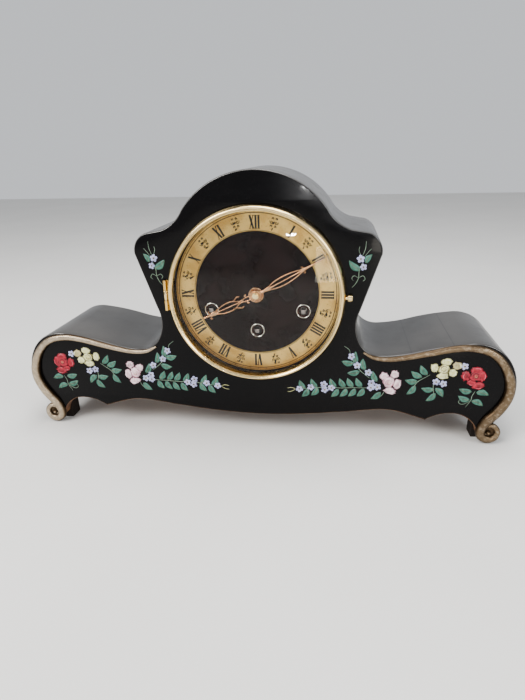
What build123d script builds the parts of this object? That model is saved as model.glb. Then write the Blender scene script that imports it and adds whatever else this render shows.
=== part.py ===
from build123d import *
import os
from math import acos, atan2, cos, degrees, hypot, pi, radians, sin

# A three-train mantel clock in a low hat-shaped case.  Millimetres.
# Working frame: x to the right and z up from the dial centre, y back from the front face of the case.
# The pieces are moved into the shared frame (origin under the middle, +Z up) when they are written.

# ---------------------------------------------------------------- case
dial_height = 146.0          # dial centre above the table
case_depth = 105.0           # front face to the back edge of the wraps
panel_thickness = 10.0
wrap_thickness = 5.0
hood_radius = 82.0
hood_centre = 32.0           # height of the hood arc's centre above the dial centre
wrap_foot = -129.7           # where the arm wraps end
waist_joint = -22.5          # where the hood wrap meets the arm wraps
seam = 0.2                   # gap at glued seams
back_panel_thickness = 5.0
back_panel_inset = 4.0
base_board_thickness = 6.0
base_board_top = -107.0
base_board_half_width = 226.0
arm_end_x = 228.0            # outer end of the arm outline at the feet
panel_hole_inset = 2.0       # the bezel covers the hole's edge by this much
door_half_width = 70.0
door_top_height = 52.0
door_bottom_height = -88.0
door_corner = 12.0
door_gap = 0.8               # round the door leaf
door_knuckle = 1.6           # radius of its hinge knuckles
door_hinge_height = 22.0
button_inset = 10.0          # turn button's pin, in from the door's edge
button_height = -14.0
button_pin = 2.0
foot_inner = 214.0
foot_outer = 228.0
foot_length = 16.0
moulding_height = 5.0        # how far the scroll mouldings stand proud
volute_centre = (230.0, -136.1)
volute_radius = 9.7

# ---------------------------------------------------------------- bezel and dial
bezel_radius = 85.0
bezel_lip = 5.4              # how far the bezel reaches in over the glass
bezel_height = 9.0
bezel_wall = 3.4
bezel_gap = 0.3              # between the closed bezel and the dial pan
flange = 1.0                 # thickness of the pan's flange on the panel
rebate = 3.0                 # depth inside the bezel, behind the glass
glass_margin = 0.2           # between the glass and the bezel's wall
glass_thickness = 2.0
glass_rise = 8.0
pan_wall = 1.0
pan_inset = 3.2              # from the bezel's outside to the pan's bore
pan_depth = 9.0
pan_lip = 5.0
dial_thickness = 1.0
dial_margin = 0.2            # between the dial and the pan's bore
chapter_margin = 0.2         # between the chapter ring and the bezel's lip
chapter_width = 19.4
chapter_thickness = 0.8
eyelet_radius = 7.0
eyelet_bore = 4.3
eyelet_sleeve = 0.9          # wall of the sleeve that goes through the dial
eyelet_fit = 0.1
dial_bore = 5.2
hinge_offset = 2.5           # from the bezel's outside to the hinge pin
hinge_radius = 1.8
hinge_pin_radius = 0.7
hinge_half_height = 15.0
knob_radius = 2.8
knob_length = 5.0
knob_shank = 1.4

# ---------------------------------------------------------------- movement
plate_front = 20.0           # depth of the front plate's face
plate_thickness = 2.0
plate_space = 38.0
plate_half_width = 66.0
plate_bottom = -60.0
plate_top = 64.0
pillar_radius = 3.0
pivot_radius = 0.9
arbor_radius = 1.15
fit = 0.05                   # running clearance on a radius
end_play = 0.3
winding_side = (45.2, -16.5)
winding_low = (0.0, -36.9)
winding_radius = 3.0
winding_square = 4.0
barrel_inset = 1.64          # from the great wheel's pitch circle to the barrel's wall
barrel_wall = 1.2
barrel_length = 18.0
wheel_thickness = 1.5
great_module, great_teeth = 0.52, 84
middle_module, middle_teeth = 0.60, 60
centre_module, centre_teeth = 0.40, 96
third_module, third_teeth = 0.38, 80
strike_module, strike_teeth = 0.42, 72
big_pinion, small_pinion = 12, 8
cannon_module, cannon_teeth, minute_teeth = 0.625, 12, 36
hour_module, minute_pinion, hour_teeth = 0.60, 10, 40
escape_teeth, escape_radius, escape_height = 45, 12.5, 35.0
drum_teeth = 44
chime_drum_radius = 7.0
ratchet_module, ratchet_teeth = 0.8, 20
verge_height = 53.0
pendulum_length = 105.0
bob_radius = 14.0
bob_thickness = 7.0
hammer_count = 4
hammer_pitch = 4.6
rod_radius = 1.5
rod_height = -93.0
rod_block_x = 122.0
rod_block_size = (16.0, 30.0)
longest_rod, rod_step = 172.0, 11.0
hammer_arbor_radius = 1.5
hammer_hub = 2.8
hammer_reach = 32.0          # from the hammer arbor to the head
hour_hand_angle = 245.0      # clockwise from twelve
minute_hand_angle = 61.0
hour_hand_margin = 18.4      # from the tip to the chapter ring's edge
minute_hand_margin = 5.4
pipe_radius = 2.1            # cannon pinion's pipe, which carries the minute hand
hour_pipe_radius = 3.3
press = 0.02                 # clearance where a hand or nut is pushed on

# depths worked out from the sizes above
plate_back = plate_front + plate_thickness
rear_plate = plate_back + plate_space
rear_face = rear_plate + plate_thickness
dial_face = pan_depth - dial_thickness
ring_face = dial_face - chapter_thickness
bezel_back = -flange - bezel_gap
glass_seat = bezel_back - rebate
glass_front = glass_seat - glass_thickness
front_most = glass_front - glass_rise
bezel_lip_radius = bezel_radius - bezel_lip
bezel_inner = bezel_radius - bezel_wall
pan_bore = bezel_radius - pan_inset
chapter_outer = bezel_lip_radius - chapter_margin
chapter_inner = chapter_outer - chapter_width
hour_hand_length = chapter_outer - hour_hand_margin
minute_hand_length = chapter_outer - minute_hand_margin
shared_shift = (0.0, -(front_most + case_depth) / 2, dial_height)

NODES = {}


def slab(face, front, back):
    """Solid with a flat outline (x right, y up) between two depths."""
    plane = Plane(origin=(0, back, 0), x_dir=(1, 0, 0), z_dir=(0, -1, 0))
    return plane * extrude(face, back - front, dir=(0, 0, 1))


def disc(radius, centre=(0, 0)):
    return Pos(*centre) * Circle(radius)


def rod(radius, centre, front, back):
    return slab(disc(radius, centre), front, back)


def ring(outer, inner, centre, front, back):
    return slab(disc(outer, centre) - disc(inner, centre), front, back)


def turned(profile):
    """Ring turned about the dial's axis from (radius, depth) points."""
    face = make_face(Polyline(*[(r, y, 0) for r, y in profile], close=True))
    return revolve(face, Axis.Y)


def block(left, right, low, high, front=-50, back=200):
    """Box between two x, two z and two depths."""
    return Pos((left + right) / 2, (front + back) / 2, (low + high) / 2) * Box(
        right - left, back - front, high - low)


def mirror_x(solid):
    return mirror(solid, Plane.YZ)


def bar(start, end, width):
    """Flat bar with round ends between two points."""
    length = hypot(end[0] - start[0], end[1] - start[1])
    angle = degrees(atan2(end[1] - start[1], end[0] - start[0]))
    return Pos(*start) * Rot(0, 0, angle) * Pos(length / 2, 0) * SlotCenterToCenter(length, width)


def polar(radius, angle, centre=(0, 0)):
    return (centre[0] + radius * cos(radians(angle)), centre[1] + radius * sin(radians(angle)))


# ---------------------------------------------------------------- case outline
def half_edges(side):
    """Edges of one half of the outline, from the top of the hood to the end of the arm."""
    def p(x, z):
        return (side * x, z)

    top = (0, hood_centre + hood_radius)
    hood_end = p(66.6, hood_centre + 47.8)
    hood_mid = p(hood_radius * sin(radians(27)), hood_centre + hood_radius * cos(radians(27)))
    edges = [
        ThreePointArc(top, hood_mid, hood_end),
        ThreePointArc(hood_end, p(75.5, 68.6), p(88.0, 61.7)),
        Line(p(88.0, 61.7), p(103.6, 59.0)),
        ThreePointArc(p(103.6, 59.0), p(112.8, 52.0), p(115.9, 40.0)),
        Line(p(115.9, 40.0), p(98.6, -12.8)),
        ThreePointArc(p(98.6, -12.8), p(95.6, -32.0), p(101.7, -48.5)),
        ThreePointArc(p(101.7, -48.5), p(110.2, -55.3), p(122.0, -57.7)),
    ]
    # the arm is a chain of arcs, each leaving along the one before it
    for end in (p(156.0, -52.0), p(203.0, -42.8), p(238.0, -58.8), p(246.6, -92.0), p(240.4, -109.8)):
        edges.append(TangentArc(edges[-1] @ 1, end, tangent=edges[-1] % 1))
    edges.append(Line(edges[-1] @ 1, p(arm_end_x, wrap_foot)))
    return edges


def foot_edges(side):
    """The foot below the arm, and half of the wavy apron, back to the middle."""
    def p(x, z):
        return (side * x, z)

    return [
        Line(p(arm_end_x, wrap_foot), p(224.0, -137.0)),
        Line(p(224.0, -137.0), p(216.5, -137.0)),
        ThreePointArc(p(216.5, -137.0), p(208.0, -122.0), p(192.0, -116.0)),
        ThreePointArc(p(192.0, -116.0), p(178.5, -118.2), p(166.5, -124.3)),
        Spline(p(166.5, -124.3), p(152.5, -120.0), p(133.0, -115.4), p(108.0, -116.7), p(78.0, -120.6)),
        ThreePointArc(p(78.0, -120.6), p(39.0, -124.8), (0, -126.4)),
    ]


def panel_face():
    edges = []
    for side in (1, -1):
        edges += half_edges(side) + foot_edges(side)
    return make_face(edges)


def case_face():
    """Outline of the wraps, carried straight down past the feet and closed there."""
    low = wrap_foot - 30
    edges = half_edges(1) + half_edges(-1)
    edges += [Line((arm_end_x, wrap_foot), (arm_end_x - 10, low))]
    edges += [Line((-arm_end_x, wrap_foot), (10 - arm_end_x, low))]
    edges += [Line((arm_end_x - 10, low), (10 - arm_end_x, low))]
    return make_face(edges)


def make_case():
    outer = case_face()
    inner = offset(outer, -wrap_thickness, kind=Kind.ARC)
    shell = slab(outer, panel_thickness, case_depth) - slab(inner, panel_thickness - 1, case_depth + 1)
    NODES["front_panel"] = slab(panel_face(), 0, panel_thickness) - rod(
        bezel_radius - panel_hole_inset, (0, 0), -1, panel_thickness + 1)
    NODES["hood_wrap"] = shell & block(-300, 300, waist_joint + seam / 2, 300)
    NODES["left_arm_wrap"] = shell & block(-300, 0, wrap_foot, waist_joint - seam / 2)
    NODES["right_arm_wrap"] = shell & block(0, 300, wrap_foot, waist_joint - seam / 2)

    inside = offset(outer, -wrap_thickness - seam, kind=Kind.ARC)
    board_bottom = base_board_top - base_board_thickness
    board = Pos(0, base_board_top - base_board_thickness / 2) * Rectangle(
        2 * base_board_half_width, base_board_thickness)
    panel_back = case_depth - back_panel_inset
    panel_front = panel_back - back_panel_thickness
    NODES["base_board"] = slab(board, panel_thickness, panel_front)
    make_back(inside, board_bottom, panel_front, panel_back)

    feet = []
    shoulder = arm_end_x - 1.3 * wrap_thickness - 1.0
    for front in (panel_thickness, panel_front - foot_length):
        foot = block(foot_inner, foot_outer, -dial_height, wrap_foot - seam, front, front + foot_length)
        foot += block(foot_inner, shoulder, -dial_height, board_bottom, front, front + foot_length)
        feet += [foot, mirror_x(foot)]
    NODES["foot_blocks"] = feet


def make_back(inside, bottom, front, back):
    """Back panel, its door, the door's hinges and turn button."""
    opening = Pos(0, (door_top_height + door_bottom_height) / 2) * RectangleRounded(
        2 * door_half_width, door_top_height - door_bottom_height, door_corner)
    leaf = offset(opening, -door_gap)
    whole = slab(inside, front, back) & block(-300, 300, bottom, 300)
    NODES["back_panel"] = whole - slab(opening, front - 1, back + 1)
    hinge_x = -door_half_width
    hinge_y = back + door_knuckle
    door = slab(leaf, front + 0.5, back)
    fixed, moving, pins = [], [], []
    share = door_hinge_height / 11
    for z in (door_bottom_height + 35, door_top_height - 35):
        for middle, tall, body in ((-4 * share, 3 * share, fixed), (0, 4.8 * share, moving), (4 * share, 3 * share, fixed)):
            side = -1 if body is fixed else 1
            knuckle = Pos(hinge_x, hinge_y, z + middle) * Cylinder(door_knuckle, tall)
            tab = Pos(hinge_x + side * 5, back + 0.4, z + middle) * Box(10, 0.8, tall)
            if body is moving:
                tab -= Pos(hinge_x, back, z) * Box(2 * door_knuckle, 1.0, 2 * door_hinge_height)
            bore = Pos(hinge_x, hinge_y, z) * Cylinder(hinge_pin_radius + fit, 2 * door_hinge_height)
            body.append(knuckle + tab - bore)
        pins.append(Pos(hinge_x, hinge_y, z) * Cylinder(hinge_pin_radius, door_hinge_height))
    NODES["door_hinges"] = fixed + pins
    pivot, end = (door_half_width - button_inset, button_height), (door_half_width + 6, button_height)
    NODES["back_door"] = [door - rod(button_pin + fit, pivot, front - 1, back + 1)] + moving
    NODES["turn_button"] = slab(bar(pivot, end, 9), back + 0.3, back + 2.8) + rod(
        button_pin, pivot, front + 0.7, back + 0.4)


# ---------------------------------------------------------------- scroll mouldings
# centre line of the right-hand moulding: x, z and half its width
SCROLL = [(104.5, -55.2, 1.4), (114.0, -59.8, 2.2), (129.0, -60.4, 2.5), (147.0, -57.4, 2.8),
          (165.0, -53.1, 3.1), (183.0, -48.7, 3.2), (201.0, -46.8, 3.4), (219.0, -50.6, 3.8),
          (232.4, -62.6, 4.2), (240.3, -80.0, 4.7), (240.6, -95.0, 4.8), (233.6, -110.0, 4.9),
          (221.6, -128.0, 4.9)]


def make_mouldings():
    upper, lower = [], []
    for i, (x, z, half) in enumerate(SCROLL):
        before, after = SCROLL[max(i - 1, 0)], SCROLL[min(i + 1, len(SCROLL) - 1)]
        dx, dz = after[0] - before[0], after[1] - before[1]
        run = hypot(dx, dz)
        upper.append((x - dz / run * half, z + dx / run * half))
        lower.append((x + dz / run * half, z - dx / run * half))
    band = make_face([Spline(*upper), Line(upper[-1], lower[-1]), Spline(*lower), Line(upper[0], lower[0])])
    volute = disc(volute_radius, volute_centre)
    moulding = slab(band, -moulding_height, 0) + slab(volute, -moulding_height - 1, 0)
    NODES["right_scroll_moulding"] = moulding
    NODES["left_scroll_moulding"] = mirror_x(moulding)


# ---------------------------------------------------------------- bezel, glass and dial
def make_bezel():
    bezel = turned([(bezel_inner, bezel_back), (bezel_radius, bezel_back), (bezel_radius, bezel_back - 1.8),
                    (bezel_radius - 1.6, 1.0 - bezel_height), (bezel_radius - 3.0, -bezel_height),
                    (bezel_lip_radius + 0.6, glass_front - 0.6), (bezel_lip_radius, glass_front),
                    (bezel_inner, glass_front)])
    rim = bezel_lip_radius - 1.0
    sphere = (rim ** 2 + glass_rise ** 2) / (2 * glass_rise)
    centre = Pos(0, front_most + sphere, 0)
    dome = rod(rim, (0, 0), front_most - 1, glass_front) & (centre * Sphere(sphere))
    hollow = rod(rim, (0, 0), front_most - 1, glass_seat + 1) & (centre * Sphere(sphere - glass_thickness))
    NODES["dial_glass"] = rod(bezel_inner - glass_margin, (0, 0), glass_front, glass_seat) + dome - hollow
    NODES["glass_retainer"] = turned([(bezel_inner - 2.6, glass_seat + 0.1), (bezel_inner - 0.1, glass_seat + 0.1),
                                      (bezel_inner - 0.1, glass_seat + 1.5), (bezel_inner - 2.0, glass_seat + 1.5)])
    pan = turned([(pan_bore, 0), (pan_bore, -flange), (bezel_radius - 0.2, -flange), (bezel_radius - 0.2, 0),
                  (pan_bore + pan_wall, 0), (pan_bore + pan_wall, pan_depth + pan_wall),
                  (pan_bore - pan_lip, pan_depth + pan_wall), (pan_bore - pan_lip, pan_depth),
                  (pan_bore, pan_depth)])

    hinge_x = -bezel_radius - hinge_offset
    hinge_y = bezel_back - 0.9
    tall = 2 * hinge_half_height / 3 - 0.3
    pin = Pos(hinge_x, hinge_y, 0)
    bore = pin * Cylinder(hinge_pin_radius + fit, 4 * hinge_half_height)
    for z in (-2 * hinge_half_height / 3, 2 * hinge_half_height / 3):
        knuckle = Pos(hinge_x, hinge_y, z) * Cylinder(hinge_radius, tall)
        knuckle += Pos(hinge_x + 2.2, -flange / 2, z) * Box(4.4, flange, tall)
        pan += knuckle - bore
    knuckle = pin * Cylinder(hinge_radius, tall) + Pos(hinge_x + 2.0, bezel_back - 0.9, 0) * Box(4.0, 1.4, tall)
    bezel += (knuckle - bore) - rod(bezel_radius - 1, (0, 0), bezel_back - 3, bezel_back + 1)
    NODES["dial_pan"] = pan
    NODES["bezel_hinge_pin"] = pin * Cylinder(hinge_pin_radius, 2 * hinge_half_height)

    turn = Pos(bezel_radius, bezel_back - 1.9, 0) * Rot(0, 90, 0)
    knob = turn * Pos(0, 0, 1.0) * Cylinder(knob_shank, 4.6)
    knob += turn * Pos(0, 0, 1.5 + knob_length / 2) * Cylinder(knob_radius, knob_length - 1.5)
    NODES["bezel_knob"] = knob
    NODES["bezel_ring"] = bezel - turn * Cylinder(knob_shank + fit, 3.0)


def winding_centres():
    side_x, side_z = winding_side
    return {"strike": (-side_x, side_z), "time": winding_low, "chime": (side_x, side_z)}


def make_dial():
    plate = disc(pan_bore - dial_margin) - disc(dial_bore)
    sleeve = eyelet_bore + eyelet_sleeve
    eyelets = []
    for centre in winding_centres().values():
        plate -= disc(sleeve + eyelet_fit, centre)
        eyelets.append(ring(eyelet_radius, eyelet_bore, centre, dial_face - 0.9, dial_face)
                       + ring(sleeve, eyelet_bore, centre, dial_face, pan_depth + 0.6))
    NODES["dial_plate"] = slab(plate, dial_face, pan_depth)
    NODES["chapter_ring"] = ring(chapter_outer, chapter_inner, (0, 0), ring_face, dial_face)
    NODES["winding_eyelets"] = eyelets


# ---------------------------------------------------------------- gears
def gear(module, teeth, phase, centre, kind="wheel"):
    """Toothed outline: one tooth points at the angle phase, counter-clockwise from +x."""
    share, top = (0.72, 0.80) if kind == "wheel" else (0.66, 0.75)
    pitch = module * teeth / 2
    root = 1.15 * module
    thick = share * pi * module / 2
    rings = ((pitch - root, thick + 0.4 * root), (pitch, thick), (pitch + top * module, thick - 0.72 * top * module))
    points = []
    for i in range(teeth):
        middle = radians(phase) + 2 * pi * i / teeth
        for side, order in ((-1, rings), (1, rings[::-1])):
            for radius, width in order:
                angle = middle + side * width / 2 / radius
                points.append((centre[0] + radius * cos(angle), centre[1] + radius * sin(angle)))
    return Polygon(*points, align=None)


def mesh_phase(phase, teeth, centre, other_teeth, other_centre):
    """Phase that puts the other gear's gap opposite this gear's tooth."""
    toward = degrees(atan2(other_centre[1] - centre[1], other_centre[0] - centre[0]))
    part = (toward - phase) * teeth / 360
    return toward + 180 - (0.5 - part) * 360 / other_teeth


def between(a, radius_a, b, radius_b, side):
    """Point at two distances from two centres, to one side of the line from a to b."""
    span = hypot(b[0] - a[0], b[1] - a[1])
    along = (radius_a ** 2 - radius_b ** 2 + span ** 2) / (2 * span)
    lean = side * degrees(acos(max(-1.0, min(1.0, along / radius_a))))
    return polar(radius_a, degrees(atan2(b[1] - a[1], b[0] - a[0])) + lean, a)


def spokes(centre, rim, hub, count=4, width=2.4):
    """Crossed-out web of a wheel: the windows between its spokes."""
    windows = disc(rim, centre) - disc(hub, centre)
    for i in range(count):
        windows -= Pos(*centre) * Rot(0, 0, 45 + i * 180 / count) * Rectangle(2 * rim + 2, width)
    return windows


def wheel(module, teeth, phase, centre, front, crossed=True, thickness=wheel_thickness):
    face = gear(module, teeth, phase, centre)
    rim = module * teeth / 2 - 2.6
    if crossed:
        face -= spokes(centre, rim, arbor_radius + 2.4, 2)
    return slab(face, front, front + thickness)


# Centres of the arbors, worked out from the teeth
barrel_radius = great_module * great_teeth / 2 - barrel_inset
great_step = great_module * (great_teeth + big_pinion) / 2
middle_step = middle_module * (middle_teeth + big_pinion) / 2
third_step = centre_module * (centre_teeth + small_pinion) / 2
escape_step = third_module * (third_teeth + small_pinion) / 2
strike_step = strike_module * (strike_teeth + small_pinion) / 2
drum_step = great_module * (great_teeth + drum_teeth) / 2
motion_step = cannon_module * (cannon_teeth + minute_teeth) / 2
centre_arbor_at = (0.0, 0.0)
escape_at = (0.0, escape_height)
verge_at = (0.0, verge_height)
middle_at = between(winding_low, great_step, centre_arbor_at, middle_step, -1)
third_at = between(centre_arbor_at, third_step, escape_at, escape_step, 1)
minute_at = polar(motion_step, 225)
chime_wheel_at = polar(great_step, 100, winding_side)
chime_fly_at = polar(strike_step, 107, chime_wheel_at)
drum_at = polar(drum_step, 270, winding_side)
hammer_at = (drum_at[0] - chime_drum_radius - 11.5, plate_bottom + 4.5)

# Depths of the wheels between the plates
barrel_front = plate_back + 4.0
great_front = barrel_front + barrel_length + 1.0
middle_front = great_front + 4.0
centre_front = middle_front + 5.0
third_front = plate_back + 3.0
escape_front = plate_back + 10.0


def flip(point):
    return (-point[0], point[1])


def arbor(centre, front=None, back=None):
    """Arbor between the plates with a thinner pivot in each."""
    body = rod(arbor_radius, centre, plate_back + end_play, rear_plate - end_play)
    front = plate_front if front is None else front
    back = rear_face if back is None else back
    return body + rod(pivot_radius, centre, front, plate_back + 1) + rod(pivot_radius, centre, rear_plate - 1, back)


def pinion(module, teeth, phase, centre, front, back):
    return slab(gear(module, teeth, phase, centre, "pinion"), front, back)


def make_plates():
    w, b, t = plate_half_width, plate_bottom, plate_top
    outline = Polygon((-w, b), (w, b), (w, 14), (50, 36), (24, t), (-24, t), (-50, 36), (-w, 14), align=None)
    pillars_at = [(-w + 4.5, b + 4.5), (w - 4.5, b + 4.5), (-w + 4.5, 9), (w - 4.5, 9), (-18, t - 7), (18, t - 7)]
    small = [middle_at, third_at, escape_at, verge_at, chime_wheel_at, flip(chime_wheel_at),
             chime_fly_at, flip(chime_fly_at), drum_at]
    front, back = outline, outline
    for centre in small:
        front -= disc(pivot_radius + fit, centre)
        back -= disc(pivot_radius + fit, centre)
    front -= disc(arbor_radius + fit, centre_arbor_at)
    back -= disc(pivot_radius + fit, centre_arbor_at)
    for centre in winding_centres().values():
        front -= disc(winding_radius + fit, centre)
        back -= disc(winding_radius - 1 + fit, centre)
    NODES["front_plate"] = slab(front, plate_front, plate_back)
    NODES["back_plate"] = slab(back, rear_plate, rear_face)
    NODES["plate_pillars"] = [rod(pillar_radius, c, plate_back, rear_plate) for c in pillars_at]
    NODES["hammer_arbor"] = rod(hammer_arbor_radius, hammer_at, plate_back, rear_plate)
    straps, screws = [], []
    for side in (-1, 1):
        for inner, outer in (((w - 12, 4), (w + 17, 42)), ((w - 8, b + 10), (w + 17, b + 6))):
            start, end = (side * inner[0], inner[1]), (side * outer[0], outer[1])
            strap = slab(bar(start, end, 9), plate_front - 1.6, plate_front)
            strap += rod(4.5, end, panel_thickness, plate_front - 1)
            straps.append(strap)
            for at, top in ((start, plate_front - 1.6), (end, plate_front)):
                depth = -1.4 if at is start else 1.4
                screws.append(rod(2.6, at, min(top, top + depth), max(top, top + depth)))
    NODES["movement_straps"] = straps
    NODES["movement_screws"] = screws
    cock = slab(bar((-7, verge_height + 5), (7, verge_height + 5), 5), rear_face, rear_face + 2)
    cock += slab(Pos(0, verge_height + 5.5) * Rectangle(5, 4), rear_face, rear_face + 10)
    NODES["suspension_cock"] = cock


def make_motion_work():
    """Centre arbor, cannon pinion, minute wheel, hour wheel and the hands."""
    phase = 90.0
    axle = arbor(centre_arbor_at)
    axle += rod(arbor_radius, centre_arbor_at, -1.2, plate_back + 1)
    axle += wheel(centre_module, centre_teeth, phase, centre_arbor_at, centre_front)
    axle += pinion(middle_module, big_pinion, phase, centre_arbor_at, middle_front - 0.5, middle_front + 2.5)
    NODES["centre_arbor"] = axle

    cannon_front, cannon_back = plate_front - 3.2, plate_front - 1.0
    toward = degrees(atan2(minute_at[1], minute_at[0]))
    tube = slab(gear(cannon_module, cannon_teeth, toward, (0, 0), "pinion"), cannon_front, cannon_back)
    tube += rod(pipe_radius, (0, 0), 2.0, cannon_front)
    tube += rod(pipe_radius, (0, 0), cannon_back, plate_front - 0.4)
    NODES["cannon_pinion"] = tube - rod(arbor_radius + press, (0, 0), -2, plate_front)

    minute_phase = mesh_phase(toward, cannon_teeth, (0, 0), minute_teeth, minute_at)
    minute_wheel = slab(gear(cannon_module, minute_teeth, minute_phase, minute_at), cannon_front + 0.5, cannon_back - 0.2)
    minute_wheel += slab(gear(hour_module, minute_pinion, toward, minute_at, "pinion"),
                         cannon_front - 3.4, cannon_front + 0.6)
    minute_wheel -= rod(pivot_radius + fit, minute_at, 0, plate_front)
    NODES["minute_wheel"] = minute_wheel
    NODES["front_plate"] += rod(pivot_radius, minute_at, cannon_front - 4.2, plate_front + 0.5)

    hour_phase = mesh_phase(toward, minute_pinion, minute_at, hour_teeth, (0, 0))
    hour_front = cannon_front - 2.9
    hour_wheel = slab(gear(hour_module, hour_teeth, hour_phase, (0, 0)), hour_front, hour_front + 1.4)
    hour_wheel += rod(hour_pipe_radius, (0, 0), 3.6, hour_front)
    NODES["hour_wheel"] = hour_wheel - rod(pipe_radius + fit, (0, 0), 0, plate_front)

    NODES["hour_hand"] = hour_hand()
    NODES["minute_hand"] = minute_hand()
    nut = rod(3.0, (0, 0), -0.6, 1.2) + rod(2.2, (0, 0), -2.2, -0.6)
    NODES["hand_nut"] = nut - rod(arbor_radius + press, (0, 0), -1.3, 3)


def hand_blade(length, stations):
    """Blade along +y, narrow and wide in turn: (share of the length, half width) pairs."""
    right = [(half, share * length) for share, half in stations]
    left = [(-x, y) for x, y in reversed(right)]
    return Polygon(*right, *left, align=None)


def hour_hand():
    length = hour_hand_length
    blade = hand_blade(length, [(0.098, 1.6), (0.246, 1.2), (0.328, 1.6), (0.557, 4.2), (0.738, 2.6), (0.82, 1.2),
                                (0.885, 3.0), (0.934, 1.6), (1.0, 0.3)])
    blade -= hand_blade(length, [(0.377, 0.6), (0.557, 2.6), (0.721, 1.0)])
    for side in (-1, 1):
        scroll = (side * 3.6, 0.287 * length)
        blade += disc(2.4, scroll) - disc(1.3, scroll)
    face = Rot(0, 0, -hour_hand_angle) * blade + disc(7.3)
    return slab(face - disc(hour_pipe_radius + press), 3.7, 4.5)


def minute_hand():
    length = minute_hand_length
    blade = hand_blade(length, [(0.054, 1.3), (0.243, 1.0), (0.324, 1.6), (0.486, 3.4), (0.676, 1.9), (0.784, 1.0),
                                (0.865, 0.9), (1.0, 0.3)])
    blade -= hand_blade(length, [(0.324, 0.4), (0.486, 2.1), (0.676, 0.8)])
    face = Rot(0, 0, -minute_hand_angle) * blade + disc(5.2)
    return slab(face - disc(arbor_radius + press), 1.2, 2.0)


# ---------------------------------------------------------------- trains
def make_barrel(name, centre, phase):
    """Barrel with its great wheel and coiled mainspring, and the winding arbor inside it."""
    back = great_front + 2.0
    drum = rod(barrel_radius, centre, barrel_front, great_front)
    drum -= rod(barrel_radius - barrel_wall, centre, barrel_front + barrel_wall, great_front - 0.2)
    drum += slab(gear(great_module, great_teeth, phase, centre), great_front, back)
    drum -= rod(winding_radius + fit, centre, 0, case_depth)
    spring = ring(barrel_radius - barrel_wall - 0.3, winding_radius + 4.0, centre,
                  barrel_front + barrel_wall + 0.3, great_front - 0.5)
    NODES[name + "_barrel"] = [drum, spring]
    square_end = ring_face - 1.4
    post = rod(winding_radius, centre, plate_front - 6, rear_plate - end_play)
    post += rod(winding_radius - 1, centre, rear_plate - 1, rear_face)
    post += slab(Pos(*centre) * Rectangle(winding_square, winding_square), square_end, plate_front - 5.5)
    post += slab(gear(ratchet_module, ratchet_teeth, 90, centre), plate_front - 3.0, plate_front - 1.5)
    NODES[name + "_winding_arbor"] = post


def make_clicks():
    """Clicks with their tips just clear of the ratchet teeth."""
    clicks = []
    tooth_tips = ratchet_module * (ratchet_teeth / 2 + 0.8)
    for centre in winding_centres().values():
        up = -1 if centre == winding_low else 1
        tip = polar(tooth_tips + 1.35, 70 * up, centre)
        pivot = polar(tooth_tips + 6.36, 108 * up, centre)
        click = slab(bar(tip, pivot, 2.0), plate_front - 3.0, plate_front - 1.5)
        click += rod(2.4, pivot, plate_front - 3.4, plate_front)
        clicks.append(click)
    NODES["winding_clicks"] = clicks


def make_going_train():
    centre_phase = 90.0
    middle_phase = mesh_phase(centre_phase, big_pinion, centre_arbor_at, middle_teeth, middle_at)
    middle = arbor(middle_at) + wheel(middle_module, middle_teeth, middle_phase, middle_at, middle_front)
    middle += pinion(great_module, big_pinion, middle_phase, middle_at, great_front - 0.6, middle_front)
    NODES["intermediate_wheel"] = middle
    make_barrel("time", winding_low, mesh_phase(middle_phase, big_pinion, middle_at, great_teeth, winding_low))

    third_phase = mesh_phase(centre_phase, centre_teeth, centre_arbor_at, small_pinion, third_at)
    third = arbor(third_at) + pinion(centre_module, small_pinion, third_phase, third_at,
                                     centre_front - 0.8, centre_front + 2.3)
    NODES["third_wheel"] = third + wheel(third_module, third_teeth, third_phase, third_at, third_front)

    escape_phase = mesh_phase(third_phase, third_teeth, third_at, small_pinion, escape_at)
    escape = arbor(escape_at) + pinion(third_module, small_pinion, escape_phase, escape_at,
                                       third_front - 0.8, third_front + 2.3)
    points = []
    for i in range(escape_teeth):
        for radius, part in ((escape_radius - 1.5, 0.0), (escape_radius, 0.35), (escape_radius - 1.5, 0.5)):
            points.append(polar(radius, (i + part) * 360 / escape_teeth, escape_at))
    face = Polygon(*points, align=None) - spokes(escape_at, escape_radius - 3.2, arbor_radius + 2, 2)
    NODES["escape_wheel"] = escape + slab(face, escape_front, escape_front + 1.0)


def make_verge():
    """Anchor over the escape wheel and, behind the back plate, the crutch that embraces the rod."""
    x, z = verge_at
    anchor = arbor(verge_at, back=rear_face + 3.5)
    reach = escape_radius + 2.3
    arch = Pos(*escape_at) * (Circle(reach + 2.0) - Circle(reach))
    arch = arch & (Pos(x, escape_at[1] + reach) * Rectangle(2 * reach * 0.86, reach * 1.1))
    arch += bar((x, z), (x, escape_at[1] + reach + 1.4), 3.0)
    anchor += slab(arch + disc(3.0, verge_at), escape_front - 0.4, escape_front + 1.4)
    crutch = bar((x, z), (x, z - 30), 2.2) + disc(3.0, verge_at)
    anchor += slab(crutch, rear_face + 2.4, rear_face + 3.6)
    for side in (-1, 1):
        fork = Pos(side * 1.9, z - 30) * Rectangle(1.2, 4)
        anchor += slab(fork + Pos(side * 0.9, z - 31) * Rectangle(2.4, 2), rear_face + 2.4, rear_face + 3.6)
        anchor += slab(fork, rear_face + 3.4, rear_face + 9.5)
    NODES["verge"] = anchor


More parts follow.
